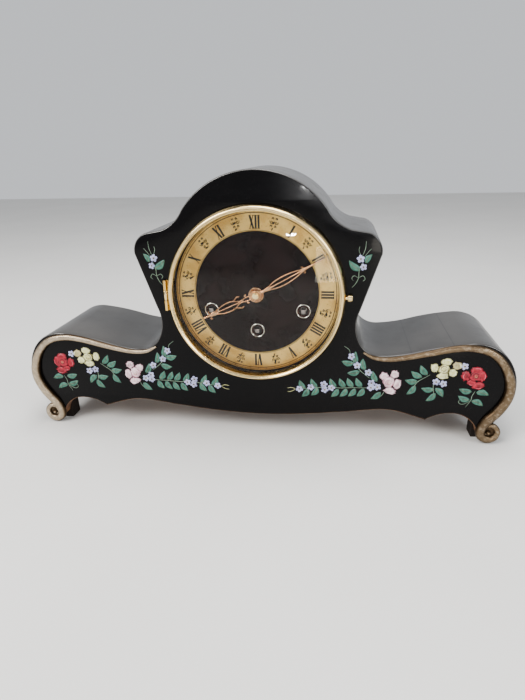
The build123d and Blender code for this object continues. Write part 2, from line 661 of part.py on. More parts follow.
def make_pendulum():
    y = rear_face + 8.0
    top, bob_z = verge_height + 3.3, verge_height - pendulum_length
    rod_2d = Pos(0, (verge_height - 4 + bob_z) / 2) * Rectangle(2.0, verge_height - 4 - bob_z)
    spring = Pos(0, (top + verge_height - 6) / 2) * Rectangle(3.0, top - verge_height + 6)
    hanger = slab(rod_2d, y - 1, y + 1) + slab(spring, y - 0.15, y + 0.15)
    thread_end = bob_z - bob_radius - 8
    hanger += Pos(0, y, (bob_z + thread_end) / 2) * Cylinder(0.9, bob_z - thread_end)
    NODES["pendulum_rod"] = hanger
    bob = rod(bob_radius, (0, bob_z), y - bob_thickness / 2, y + bob_thickness / 2)
    slot = Pos(0, y, bob_z + bob_radius / 2 + 1) * Box(2.1, 2.1, bob_radius + 4)
    NODES["pendulum_bob"] = bob - slot - Pos(0, y, bob_z - bob_radius / 2) * Cylinder(1.0, bob_radius + 4)
    nut_z = bob_z - bob_radius - 1.6
    NODES["rating_nut"] = Pos(0, y, nut_z) * (Cylinder(3.2, 2.6) - Cylinder(0.9 + fit, 4))


def make_side_train(name, side):
    """Great wheel, second wheel and fly: the strike train is the chime train mirrored."""
    def at(point):
        return point if side > 0 else flip(point)

    barrel_at, wheel_at, fly_at = at(winding_side), at(chime_wheel_at), at(chime_fly_at)
    barrel_phase = 90.0
    make_barrel(name, barrel_at, barrel_phase)
    wheel_phase = mesh_phase(barrel_phase, great_teeth, barrel_at, big_pinion, wheel_at)
    second = arbor(wheel_at) + wheel(strike_module, strike_teeth, wheel_phase, wheel_at, middle_front)
    second += pinion(great_module, big_pinion, wheel_phase, wheel_at, great_front - 0.6, middle_front)
    NODES[name + "_wheel"] = second
    fly_phase = mesh_phase(wheel_phase, strike_teeth, wheel_at, small_pinion, fly_at)
    fly = arbor(fly_at) + pinion(strike_module, small_pinion, fly_phase, fly_at, middle_front - 0.8, middle_front + 2.3)
    vane = Pos(*fly_at) * Rot(0, 0, 20) * Rectangle(17, 0.8)
    NODES[name + "_fly"] = fly + slab(vane + disc(2.2, fly_at), barrel_front + 4, barrel_front + 16)


def make_chimes():
    drum_phase = mesh_phase(90.0, great_teeth, winding_side, drum_teeth, drum_at)
    drum = arbor(drum_at) + wheel(great_module, drum_teeth, drum_phase, drum_at, great_front, False, 2.0)
    first = barrel_front + 1.0
    drum += rod(chime_drum_radius, drum_at, first, great_front)
    stations = [first + 2.0 + i * hammer_pitch for i in range(hammer_count)]
    for i, y in enumerate(stations):
        for k in range(5):
            angle = 36 + 90 * i / hammer_count + k * 72
            tip, foot = polar(chime_drum_radius + 1.2, angle, drum_at), polar(chime_drum_radius - 1, angle, drum_at)
            drum += slab(bar(foot, tip, 0.8), y - 0.4, y + 0.4)
    NODES["chime_drum"] = drum

    block_wide, block_tall = rod_block_size
    rods = []
    cast = block(rod_block_x, rod_block_x + block_wide, base_board_top, base_board_top + block_tall,
                 stations[0] - 6, stations[-1] + 6)
    for i, y in enumerate(stations):
        rod_length = longest_rod - rod_step * i
        end = rod_block_x + block_wide / 2
        line = Pos(end - rod_length / 2, y, rod_height) * Rot(0, 90, 0)
        rods.append(line * Cylinder(rod_radius, rod_length))
        cast -= Pos(end - block_wide / 4, y, rod_height) * Rot(0, 90, 0) * Cylinder(rod_radius, block_wide / 2)
        NODES["hammer_%d" % (i + 1)] = hammer(y)
    NODES["chime_rods"] = rods
    NODES["rod_block"] = cast


def hammer(y):
    """Hub, tail toward the drum, arm and head above its rod."""
    head_x, head_z = hammer_at[0] + hammer_reach, rod_height + rod_radius + 4.6
    hub = disc(hammer_hub, hammer_at) - disc(hammer_arbor_radius + fit, hammer_at)
    tail_angle = degrees(atan2(drum_at[1] - hammer_at[1], drum_at[0] - hammer_at[0]))
    gap = hypot(drum_at[0] - hammer_at[0], drum_at[1] - hammer_at[1]) - chime_drum_radius - 2.0
    tail = bar(polar(2.4, tail_angle, hammer_at), polar(gap - 0.8, tail_angle, hammer_at), 1.2)
    lean = degrees(atan2(head_z - hammer_at[1], head_x - hammer_at[0]))
    arm = bar(polar(2.4, lean, hammer_at), (head_x, head_z), 1.4)
    body = slab(hub, y - 1.5, y + 1.5) + slab(tail + arm, y - 0.7, y + 0.7)
    head = Pos(head_x, y, head_z) * Cylinder(2.0, 7.0)
    return body + head


def place(node):
    """Move a node, one solid or a list of them, into the shared frame."""
    solids = node if isinstance(node, list) else [node]
    shape = solids[0] if len(solids) == 1 else Compound(children=solids)
    return Pos(*shared_shift) * shape


make_case()
make_mouldings()
make_bezel()
make_dial()
make_plates()
make_motion_work()
make_clicks()
make_going_train()
make_verge()
make_pendulum()
make_side_train("strike", -1)
make_side_train("chime", 1)
make_chimes()

os.makedirs("parts", exist_ok=True)
for name, node in NODES.items():
    export_step(place(node), os.path.join("parts", name + ".step"))
print(len(NODES), "nodes; shared shift", shared_shift)
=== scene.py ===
# %% [markdown]
# # A painted mantel clock
# The clock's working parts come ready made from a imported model. This notebook gives them their looks:
# black lacquer, brass, gilt scrolls, an engraved dial and hand-painted flowers. We start by loading the
# parts and measuring the few places that everything else is set out from.

# %% Load the clock
from math import atan2, cos, hypot, pi, radians, sin, tau

import bmesh
import bpy
from mathutils import Matrix, Vector, noise
from mathutils.geometry import tessellate_polygon


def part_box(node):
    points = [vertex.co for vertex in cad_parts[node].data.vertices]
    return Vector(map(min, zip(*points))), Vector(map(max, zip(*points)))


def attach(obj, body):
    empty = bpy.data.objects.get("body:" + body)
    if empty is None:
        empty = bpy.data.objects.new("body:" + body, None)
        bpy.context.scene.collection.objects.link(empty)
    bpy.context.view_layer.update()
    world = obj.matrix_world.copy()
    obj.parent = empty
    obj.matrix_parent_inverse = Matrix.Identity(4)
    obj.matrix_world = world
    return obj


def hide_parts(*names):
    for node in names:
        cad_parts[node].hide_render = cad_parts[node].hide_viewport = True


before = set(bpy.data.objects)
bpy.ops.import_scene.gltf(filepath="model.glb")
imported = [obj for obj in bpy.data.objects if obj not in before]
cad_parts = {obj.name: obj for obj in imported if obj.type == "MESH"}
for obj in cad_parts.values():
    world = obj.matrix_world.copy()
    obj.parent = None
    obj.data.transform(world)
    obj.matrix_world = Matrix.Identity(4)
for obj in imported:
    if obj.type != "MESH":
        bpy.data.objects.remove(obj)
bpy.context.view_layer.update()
MM = 0.001

panel_low, panel_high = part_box("front_panel")
ring_low, ring_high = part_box("chapter_ring")
FRONT = panel_low[1]                              # depth of the case's front face
DIAL_Z = (ring_low[2] + ring_high[2]) / 2         # height of the dial's centre
DIAL_FACE = ring_low[1]                           # depth of the chapter ring's face
print("front face at", round(FRONT, 4), "dial face at", round(DIAL_FACE, 4))
print("dial centre at", round(DIAL_Z, 4))


# %% [markdown]
# ## Where things go
# A clock case is set out from the dial's centre, so positions are given as x to the right and z up from
# there, in millimetres, with a height standing proud of the front face. One function turns them into
# Blender's metres.

# %% Set-out helper
def at(x, z, proud=0.0):
    """Point x, z mm from the dial's centre, standing proud of the front face by some mm."""
    return Vector((x * MM, FRONT - proud * MM, DIAL_Z + z * MM))


print("hub of the hands is at", [round(v, 4) for v in at(0, 0)])


# %% [markdown]
# ## The camera
# The clock is seen from a little above and to the right, from close by, through a wide lens. A camera's
# matrix is its right, up and backward directions as columns, so yaw, pitch and roll are worked into those.

# %% Camera
def place_camera(offset, yaw, pitch, roll, lens):
    forward = Vector((sin(yaw) * cos(pitch), cos(yaw) * cos(pitch), sin(pitch)))
    level = Vector((cos(yaw), -sin(yaw), 0))
    rise = level.cross(forward)
    right = cos(roll) * level + sin(roll) * rise
    up = -sin(roll) * level + cos(roll) * rise
    data = bpy.data.cameras.new("camera")
    data.sensor_width = 36.0
    data.lens = lens
    camera = bpy.data.objects.new("camera", data)
    bpy.context.scene.collection.objects.link(camera)
    matrix = Matrix((right, up, -forward)).transposed().to_4x4()
    matrix.translation = Vector((0, FRONT, DIAL_Z)) + offset
    camera.matrix_world = matrix
    bpy.context.scene.camera = camera
    return camera


FROM_DIAL = Vector((0.0761, -0.4612, 0.12725))    # metres from the dial's centre
YAW, PITCH, ROLL = radians(-8.70), radians(-21.30), radians(-1.48)
LENS = 26.11
camera = place_camera(FROM_DIAL, YAW, PITCH, ROLL, LENS)
print("lens", round(camera.data.lens, 2), "mm")


# %% [markdown]
# ## Shader maths as plain expressions
# A procedural material is a small formula over the surface. Wrapping a socket in a class with the usual
# operators lets us write that formula as Python, and each operation adds its Math node.

# %% Material maker
class Value:
    """A socket that can be added, multiplied and so on."""

    def __init__(self, maker, socket):
        self.maker, self.socket = maker, socket

    def _op(self, operation, *others):
        return self.maker.node("ShaderNodeMath", {"operation": operation}, *others)

    def __add__(self, other):
        return self._op("ADD", self, other)

    def __radd__(self, other):
        return self._op("ADD", other, self)

    def __sub__(self, other):
        return self._op("SUBTRACT", self, other)

    def __rsub__(self, other):
        return self._op("SUBTRACT", other, self)

    def __mul__(self, other):
        return self._op("MULTIPLY", self, other)

    def __rmul__(self, other):
        return self._op("MULTIPLY", other, self)

    def __pow__(self, other):
        return self._op("POWER", self, other)

    def step(self, low, high):
        """0 below low, 1 above high, smooth between."""
        smooth = {"interpolation_type": "SMOOTHSTEP"}
        return self.maker.node("ShaderNodeMapRange", smooth, self, low, high, 0.0, 1.0)

    def wave(self, frequency):
        return self._op("SINE", self * frequency)


class Maker:
    """Builds one material's node tree."""

    def __init__(self, name):
        self.material = bpy.data.materials.new(name)
        self.material.use_nodes = True
        self.tree = self.material.node_tree
        self.shader = self.tree.nodes["Principled BSDF"]
        self.place = self.node("ShaderNodeTexCoord", {}, out="Object")

    def node(self, kind, settings, *inputs, out=0, **named):
        """Adds a node: its settings first, then its sockets in order or by name."""
        node = self.tree.nodes.new(kind)
        for key, value in settings.items():
            setattr(node, key, value)
        by_name = [(key.replace("_", " "), value) for key, value in named.items()]
        for key, value in list(enumerate(inputs)) + by_name:
            if isinstance(value, Value):
                self.tree.links.new(value.socket, node.inputs[key])
            else:
                node.inputs[key].default_value = value
        return Value(self, node.outputs[out])

    def noise(self, scale, detail=3.0, rough=0.5, where=None, stretch=None):
        """Fractal noise over the object, scale in features per metre."""
        where = where or self.place
        if stretch:
            where = self.node("ShaderNodeMapping", {}, where, Scale=stretch)
        return self.node("ShaderNodeTexNoise", {}, where, Scale=scale, Detail=detail, Roughness=rough)

    def mix(self, amount, low, high):
        """Colour between two colours or colour values."""
        node = self.tree.nodes.new("ShaderNodeMix")
        node.data_type = "RGBA"
        for index, value in ((0, amount), (6, low), (7, high)):
            if isinstance(value, Value):
                self.tree.links.new(value.socket, node.inputs[index])
            else:
                node.inputs[index].default_value = value if index == 0 else (*value, 1.0)
        return Value(self, node.outputs[2])

    def axis(self, letter):
        return self.node("ShaderNodeSeparateXYZ", {}, self.place, out=letter)

    def set(self, **sockets):
        for key, value in sockets.items():
            socket = self.shader.inputs[key.replace("_", " ")]
            if isinstance(value, Value):
                self.tree.links.new(value.socket, socket)
            elif socket.type == "RGBA":
                socket.default_value = (*value, 1.0)
            else:
                socket.default_value = value
        return self

    def bump(self, height, distance, strength=1.0):
        return self.set(Normal=self.node("ShaderNodeBump", {}, Height=height, Distance=distance,
                                         Strength=strength, out="Normal"))


print("shader maths ready")


# %% [markdown]
# ## Black lacquer
# The case is wood under many coats of black lacquer, rubbed down and polished. The front is glossy, with
# a faint waviness and fine dust; the bent wraps at the sides are duller. Both share one recipe with a
# different gloss, so a function makes them. Wood and metal get a function each as well.

# %% Lacquer, wood and metal finishes
def lacquer(name, colour, worn, gloss, coat, shine, seams=()):
    """Polished lacquer, with dark joints at the seams, which are given in metres to the right."""
    m = Maker(name)
    cloud = m.noise(9.0, 4.0)
    dust = m.noise(900.0, 2.0).step(0.60, 0.78)
    smear = m.noise(38.0, 5.0, stretch=(1.0, 1.0, 3.0)).step(0.42, 0.72)
    shade = m.mix(cloud.step(0.35, 0.70), colour, worn)
    for place in seams:
        away = m.axis("X") - place
        joint = (away * away).step(1e-8, 3e-7)
        shade = m.mix(joint, tuple(0.3 * c for c in colour), shade)
    m.set(Base_Color=m.mix(dust * 0.03, shade, (0.20, 0.19, 0.18)))
    m.set(Roughness=gloss + smear * 0.07 + dust * 0.12)
    m.set(Coat_Weight=coat, Coat_Roughness=0.05, Specular_IOR_Level=shine)
    ripple = m.noise(26.0, 2.0) * 0.8 + m.noise(420.0, 2.0) * 0.05
    return m.bump(ripple, 0.0006, 0.35).material


def wood(name, light, dark):
    """Bare board with its grain along the clock."""
    m = Maker(name)
    along = m.node("ShaderNodeMapping", {}, m.place, Scale=(1.0, 6.0, 14.0))
    bend = m.noise(9.0, 3.0, where=along)
    grain = m.noise(60.0, 5.0, 0.65, where=along)
    pores = m.noise(700.0, 2.0, stretch=(0.08, 1.0, 1.0)).step(0.58, 0.70)
    tone = (bend * 0.6 + grain * 0.5).step(0.35, 0.75)
    m.set(Base_Color=m.mix(pores * 0.5, m.mix(tone, dark, light), (0.05, 0.03, 0.02)))
    m.set(Roughness=0.62 + pores * 0.2, Specular_IOR_Level=0.35)
    return m.bump(grain * 0.5 - pores, 0.0004, 0.5).material


def metal(name, colour, tarnish, rough, spread=0.5, brushed=None, fleck=0.25):
    """Metal with cloudy tarnish, fine scratches and, if brushed, drawn lines."""
    m = Maker(name)
    cloud = m.noise(70.0, 4.0).step(0.40, 0.75) * spread
    scratch = m.noise(1500.0, 2.0, stretch=brushed or (1.0, 0.15, 1.0)).step(0.45, 0.75)
    spots = m.noise(600.0, 3.0).step(0.62, 0.74) * fleck
    tint = m.mix(cloud, colour, tarnish)
    m.set(Base_Color=m.mix(spots, tint, tuple(0.45 * c for c in tarnish)))
    m.set(Metallic=1.0, Roughness=rough + cloud * 0.18 + scratch * 0.08)
    return m.bump(scratch, 0.00008, 0.25).material


WRAP_SEAMS = (0.1485, 0.1865)
FINISH = {
    "panel_lacquer": lacquer("panel_lacquer", (0.0012, 0.0011, 0.0016), (0.0028, 0.0022, 0.0026),
                             0.20, 0.12, 0.16),
    "wrap_lacquer": lacquer("wrap_lacquer", (0.026, 0.024, 0.022), (0.052, 0.047, 0.042),
                            0.34, 0.40, 0.75, WRAP_SEAMS),
    "plain_board": wood("plain_board", (0.30, 0.17, 0.085), (0.14, 0.07, 0.035)),
    # the foot blocks' near-black wood is painted shade, for blocks that sit in shade under the case
    "foot_board_painted_shade": wood("foot_board_painted_shade", (0.022, 0.014, 0.010), (0.010, 0.007, 0.006)),
    "edge_board": wood("edge_board", (0.20, 0.11, 0.06), (0.10, 0.05, 0.03)),
    "brass": metal("brass", (0.74, 0.53, 0.23), (0.46, 0.30, 0.11), 0.24),
    "bezel_brass": metal("bezel_brass", (0.86, 0.68, 0.38), (0.58, 0.40, 0.17), 0.15, 0.45),
    "copper": metal("copper", (0.66, 0.38, 0.22), (0.34, 0.17, 0.09), 0.22),
    "steel": metal("steel", (0.62, 0.62, 0.64), (0.38, 0.37, 0.36), 0.26),
    "dark_steel": metal("dark_steel", (0.30, 0.26, 0.25), (0.14, 0.11, 0.11), 0.28),
    "nickel": metal("nickel", (0.88, 0.86, 0.80), (0.62, 0.58, 0.50), 0.16, 0.3),
    "iron": metal("iron", (0.05, 0.05, 0.055), (0.03, 0.028, 0.026), 0.55),
}
print(len(FINISH), "finishes")


# %% [markdown]
# ## Three ways to make a shape
# Most of this clock's trim is one of three things. A **turned** piece, such as the bezel, is a profile
# spun about the dial's axis. A **run** is a strip with a rounded top that follows a path, such as a
# moulding, a hand's strand or a brushed stem. A **touch** is a small domed patch, such as a petal. Each gets
# one helper, and all of them make plain meshes with their place in the vertices.

# %% Mesh helpers
def finish_mesh(name, vertices, faces, material, body, smooth=True, tones=None, merge=0.0):
    """One piece from its vertices and faces, riding on a body; tones are kept as an attribute."""
    mesh = bpy.data.meshes.new(name)
    mesh.from_pydata([tuple(v) for v in vertices], [], faces)
    if tones is not None:
        layer = mesh.attributes.new("tone", "FLOAT", "POINT")
        layer.data.foreach_set("value", tones)
    if merge:
        bm = bmesh.new()
        bm.from_mesh(mesh)
        bmesh.ops.remove_doubles(bm, verts=bm.verts, dist=merge)
        bmesh.ops.recalc_face_normals(bm, faces=bm.faces)
        bm.to_mesh(mesh)
        bm.free()
    piece = bpy.data.objects.new(name, mesh)
    bpy.context.scene.collection.objects.link(piece)
    mesh.materials.append(material)
    mesh.polygons.foreach_set("use_smooth", [smooth] * len(mesh.polygons))
    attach(piece, body)
    return piece


def smooth_path(points, steps=8):
    """Catmull-Rom curve through tuples of any length, so widths are carried along with places."""
    ends = [tuple(2 * a - b for a, b in zip(points[0], points[1]))]
    tail = [tuple(2 * a - b for a, b in zip(points[-1], points[-2]))]
    chain = ends + list(points) + tail
    path = []
    for i in range(1, len(chain) - 2):
        for k in range(steps):
            t = k / steps
            weights = (-t + 2 * t ** 2 - t ** 3, 2 - 5 * t ** 2 + 3 * t ** 3,
                       t + 4 * t ** 2 - 3 * t ** 3, t ** 3 - t ** 2)
            path.append(tuple(sum(w * p[j] for w, p in zip(weights, chain[i - 1:i + 3])) / 2
                              for j in range(len(points[0]))))
    path.append(tuple(points[-1]))
    return path


class Shape:
    """Collects vertices and faces until they become one piece."""

    def __init__(self):
        self.vertices, self.faces, self.tones = [], [], []

    def add(self, vertices, faces, tones=None):
        base = len(self.vertices)
        self.vertices += vertices
        self.faces += [tuple(base + i for i in face) for face in faces]
        self.tones += tones or [0.5] * len(vertices)

    def run(self, path, base=0.0, arch=6, rise=1.0, sign=1):
        """Rounded strip along (x, z, half width, height) stations, standing on the front face."""
        rows, tones = [], []
        for i, (x, z, half, tall) in enumerate(path):
            x0, z0 = path[max(i - 1, 0)][:2]
            x1, z1 = path[min(i + 1, len(path) - 1)][:2]
            length = hypot(x1 - x0, z1 - z0) or 1.0
            nx, nz = (z0 - z1) / length, (x1 - x0) / length
            row = [at(sign * (x + nx * half), z + nz * half, base)]
            for k in range(arch + 1):
                angle = pi * k / arch
                across, up = cos(angle) * half, sin(angle) ** rise * tall
                row.append(at(sign * (x + nx * across), z + nz * across, base + 0.1 * tall + 0.9 * up))
            row.append(at(sign * (x - nx * half), z - nz * half, base))
            rows.append(row)
            tones += [0.0] + [sin(pi * k / arch) for k in range(arch + 1)] + [0.0]
        wide = arch + 3
        faces = []
        for i in range(len(rows) - 1):
            for k in range(wide):
                a, b = i * wide + k, i * wide + (k + 1) % wide
                faces.append((a, b, b + wide, a + wide)[::sign])
        faces.append(tuple(range(wide))[::-sign])
        faces.append(tuple(range((len(rows) - 1) * wide, len(rows) * wide))[::sign])
        self.add([v for row in rows for v in row], faces, tones)

    def patch(self, outline, height, base=0.05, rings=3, tone=None):
        """Domed patch over a closed (x, z) outline given counter-clockwise."""
        n = len(outline)
        cx, cz = sum(p[0] for p in outline) / n, sum(p[1] for p in outline) / n
        vertices, tones = [at(cx, cz, base + height)], [tone(0.0, 0) if tone else 0.0]
        for ring in range(1, rings + 1):
            r = ring / rings
            for k, (x, z) in enumerate(outline):
                vertices.append(at(cx + (x - cx) * r, cz + (z - cz) * r, base + height * (1 - r ** 3)))
                tones.append(tone(r, k / n) if tone else r)
        for x, z in outline:
            vertices.append(at(x, z, 0.0))
            tones.append(1.0)
        faces = [(0, 1 + k, 1 + (k + 1) % n) for k in range(n)]
        for ring in range(rings):
            for k in range(n):
                a, b = 1 + ring * n + k, 1 + ring * n + (k + 1) % n
                faces.append((a, a + n, b + n, b))
        last = 1 + rings * n
        faces.append(tuple(last + k for k in reversed(range(n))))
        self.add(vertices, faces, tones)

    def plate(self, outline, proud, thick):
        """Flat plate over an (x, z) outline, its front at proud."""
        n = len(outline)
        vertices = [at(x, z, proud) for x, z in outline] + [at(x, z, proud - thick) for x, z in outline]
        faces = [tuple(range(n)), tuple(reversed(range(n, 2 * n)))]
        faces += [(k, k + n, (k + 1) % n + n, (k + 1) % n) for k in range(n)]
        self.add(vertices, faces)

    def piece(self, name, material, body, smooth=True):
        return finish_mesh(name, self.vertices, self.faces, material, body, smooth, self.tones, merge=1e-7)


def wobble(x, z, seed):
    """Smooth random value that changes over some millimetres, the same on each run."""
    return noise.noise(Vector((x * 0.35, z * 0.35, seed * 7.7)))


def petal(x, z, wide, tall, turn=0.0, rough=0.12, seed=0.0, steps=22):
    """Wavy oval outline."""
    out = []
    for k in range(steps):
        a = tau * k / steps
        r = 1 + rough * (wobble(9 * cos(a) + x, 9 * sin(a) + z, seed) * 2.0)
        u, v = wide / 2 * r * cos(a), tall / 2 * r * sin(a)
        out.append((x + u * cos(turn) - v * sin(turn), z + u * sin(turn) + v * cos(turn)))
    return out


def turned(name, profile, material, body, centre=(0.0, 0.0), steps=128, crease=35):
    """Ring spun about an axis through centre: profile is (radius, proud) points round a closed section."""
    vertices, faces = [], []
    n = len(profile)
    for i in range(steps):
        turn = tau * i / steps
        for radius, proud in profile:
            vertices.append(at(centre[0] + radius * cos(turn), centre[1] + radius * sin(turn), proud))
    for i in range(steps):
        for k in range(n):
            a, b = i * n + k, i * n + (k + 1) % n
            c, d = (i + 1) % steps * n + (k + 1) % n, (i + 1) % steps * n + k
            faces.append((a, b, c, d))
    piece = finish_mesh(name, vertices, faces, material, body, merge=1e-7)
    piece.data.set_sharp_from_angle(angle=radians(crease))
    return piece


def rounded(points, radius, steps=4):
    """Closed section with its corners rounded off."""
    out = []
    n = len(points)
    for i, p in enumerate(points):
        a, b = Vector(points[i - 1]) - Vector(p), Vector(points[(i + 1) % n]) - Vector(p)
        reach = min(radius, a.length * 0.45, b.length * 0.45)
        start, end = Vector(p) + a.normalized() * reach, Vector(p) + b.normalized() * reach
        for k in range(steps + 1):
            t = k / steps
            out.append(tuple((1 - t) ** 2 * start + 2 * t * (1 - t) * Vector(p) + t ** 2 * end))
    return out


print("helpers for turned pieces, runs and patches ready")


# %% [markdown]
# ## The front panel
# The front is one board with its edge eased over by hand. A CAD edge is perfectly sharp and never catches
# the light, so we read the board's outline back from the CAD part, and build the same board again with a
# small rounded edge. The lower edge is left as bare board, as on the real case.

# %% Panel with an eased edge
def outline_loops(node):
    """Closed outlines of a flat part's front face, as (x, z) lists in millimetres from the dial's centre."""
    bm = bmesh.new()
    bm.from_mesh(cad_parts[node].data)
    bmesh.ops.remove_doubles(bm, verts=bm.verts, dist=1e-6)
    bm.normal_update()
    rim = [e for e in bm.edges if sum(f.normal.y < -0.99 for f in e.link_faces) == 1]
    follow = {}
    for edge in rim:
        a, b = edge.verts
        follow.setdefault(a, []).append(b)
        follow.setdefault(b, []).append(a)
    loops = []
    while follow:
        start = next(iter(follow))
        loop, here = [start], follow.pop(start)[0]
        while here is not start:
            options = follow.pop(here)
            ahead = options[0] if options[0] is not loop[-1] else options[1]
            loop.append(here)
            here = ahead
        points = [(v.co.x / MM, (v.co.z - DIAL_Z) / MM) for v in loop]
        area = sum(p[0] * q[1] - q[0] * p[1] for p, q in zip(points, points[1:] + points[:1]))
        loops.append(points if area > 0 else points[::-1])
    bm.free()
    return loops


def inset(loop, distance):
    """Loop moved inward, with its corners mitred up to a limit."""
    out = []
    for i, (x, z) in enumerate(loop):
        (x0, z0), (x1, z1) = loop[i - 1], loop[(i + 1) % len(loop)]
        a, b = Vector((x - x0, z - z0)).normalized(), Vector((x1 - x, z1 - z)).normalized()
        side = Vector((-a.y - b.y, a.x + b.x)) / 2
        scale = distance / max(side.length_squared, 0.35)
        out.append((x + side.x * scale, z + side.y * scale))
    return out


EDGE_EASE = 1.6
BARE_BELOW, BARE_WITHIN = -110, 222      # the bare lower edge, from the dial's centre
LACQUERED, BARE, WRAPPED = 0, 1, 2       # the panel's material slots


def make_panel():
    """The board again, from its outline, with eased edges at the front."""
    loops = outline_loops("front_panel")
    loops.sort(key=lambda loop: -max(p[0] for p in loop))
    outer, hole = loops[0], loops[1]
    thick = (panel_high[1] - panel_low[1]) / MM
    rings = [(EDGE_EASE * (1 - sin(t)), EDGE_EASE * (1 - cos(t)))
             for t in (0.0, pi / 8, pi / 4, 3 * pi / 8, pi / 2)]
    vertices, faces, finish = [], [], []
    for loop, side in ((outer, 1), (hole, -1)):
        n, start = len(loop), len(vertices)
        for shift, back in rings:
            vertices += [at(x, z, -back) for x, z in inset(loop, side * shift)]
        vertices += [at(x, z, -thick) for x, z in loop]
        for ring in range(len(rings)):
            for k in range(n):
                a, b = start + ring * n + k, start + ring * n + (k + 1) % n
                faces.append((a, a + n, b + n, b)[::side])
                x, z = loop[k]
                bare = z < BARE_BELOW and abs(x) < BARE_WITHIN
                eased = BARE if bare else WRAPPED
                finish.append(LACQUERED if side < 0 or ring < 1 else eased)
    # the front face spans the first ring of each loop, and the back face the last
    last, hole_start = len(rings), len(outer) * (len(rings) + 1)
    hole_back = hole_start + len(hole) * last
    front_hole = range(hole_start, hole_start + len(hole))
    front_ids = list(range(len(outer))) + list(reversed(front_hole))
    back_ids = list(range(len(outer) * last, hole_start))
    back_ids += reversed(range(hole_back, hole_back + len(hole)))
    front = [vertices[:len(outer)], [vertices[i] for i in reversed(front_hole)]]
    for triangle in tessellate_polygon(front):
        faces.append(tuple(front_ids[i] for i in triangle))
        faces.append(tuple(back_ids[i] for i in reversed(triangle)))
        finish += [LACQUERED, LACQUERED]
    panel = finish_mesh("lacquered_front", vertices, faces, FINISH["panel_lacquer"], "case")
    panel.data.materials.append(FINISH["edge_board"])
    panel.data.materials.append(FINISH["wrap_lacquer"])
    panel.data.polygons.foreach_set("material_index", finish)
    bm = bmesh.new()
    bm.from_mesh(panel.data)
    bmesh.ops.recalc_face_normals(bm, faces=bm.faces)
    bm.to_mesh(panel.data)
    bm.free()
    panel.data.set_sharp_from_angle(angle=radians(40))
    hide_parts("front_panel")
    return panel


panel = make_panel()
print("front panel has", len(panel.data.polygons), "faces")


# %% [markdown]
# ## Gilt scroll mouldings
# Each arm carries a half-round moulding in worn gold leaf. It starts as a thin tail at the waist, swells
# over the arm, runs down the foot and rolls up into a volute. That is a run whose width changes, so a
# list of stations with their half widths is all it needs; the volute is a spiral given by a rule.

# %% Mouldings
ARM_LINE = [(103.4, -54.2, 1.0), (114.0, -59.4, 2.1), (129.0, -60.4, 2.5), (147.0, -57.4, 2.8),
            (165.0, -53.1, 3.1), (183.0, -48.7, 3.3), (201.0, -46.8, 3.5), (219.0, -50.6, 3.8),
            (232.4, -62.6, 4.2), (240.1, -80.0, 4.7), (240.2, -95.0, 4.8), (233.6, -110.0, 4.9),
            (224.0, -122.0, 4.9)]
VOLUTE = (226.8, -133.8)
VOLUTE_BACK, VOLUTE_EYE = 10.5, 2.9      # radii of the plate behind the strip and of the eye


def circle(centre, radius, steps):
    """Points round a circle, counter-clockwise."""
    return [(centre[0] + radius * cos(tau * k / steps), centre[1] + radius * sin(tau * k / steps))
            for k in range(steps)]


def volute_stations():
    """Strip rolled up: its outer edge keeps to a circle for a turn, then winds in to the eye."""
    stations = []
    for turn, outer, half in ((165, 12.0, 4.7), (215, 12.0, 4.4), (270, 12.0, 4.0), (320, 12.0, 3.5),
                              (370, 11.6, 3.0), (420, 10.6, 2.6), (470, 8.6, 2.3), (520, 6.6, 2.0),
                              (570, 4.9, 1.8), (630, 3.4, 1.6)):
        reach, angle = outer - half, radians(turn)
        stations.append((VOLUTE[0] + reach * cos(angle), VOLUTE[1] + reach * sin(angle), half))
    return stations


def gilt(name, bare):
    """Dark gold leaf rubbed paler in patches, with a painted highlight on its crest as strong as bare."""
    m = Maker(name)
    cloud = m.noise(45.0, 4.0).step(0.35, 0.72)
    rub = m.noise(260.0, 5.0, 0.7).step(0.46, 0.68)
    dirt = m.noise(900.0, 3.0).step(0.55, 0.72)
    # lit_crest is 1 along the top of a strip and 0 at its edges, for painted highlight and painted shade
    lit_crest = m.node("ShaderNodeAttribute", {"attribute_name": "tone"}, out="Fac").step(0.30, 0.95)
    gold = m.mix(cloud, (0.105, 0.068, 0.036), (0.20, 0.140, 0.080))
    # real wear rubs patches paler, and bare adds a painted highlight along the crest
    worn = m.mix(rub * 0.42 + lit_crest * bare, gold, (0.50, 0.42, 0.32))
    # the strip's edges fall to dark brown as painted shade
    edge = m.mix(lit_crest, (0.07, 0.045, 0.025), worn)
    m.set(Base_Color=m.mix(dirt * (1 - lit_crest) * 0.75, edge, (0.05, 0.03, 0.015)))
    m.set(Metallic=0.85 - rub * 0.2, Roughness=0.30 + rub * 0.14 + dirt * 0.15)
    return m.bump(rub * 0.5 - dirt, 0.00025, 0.5).material


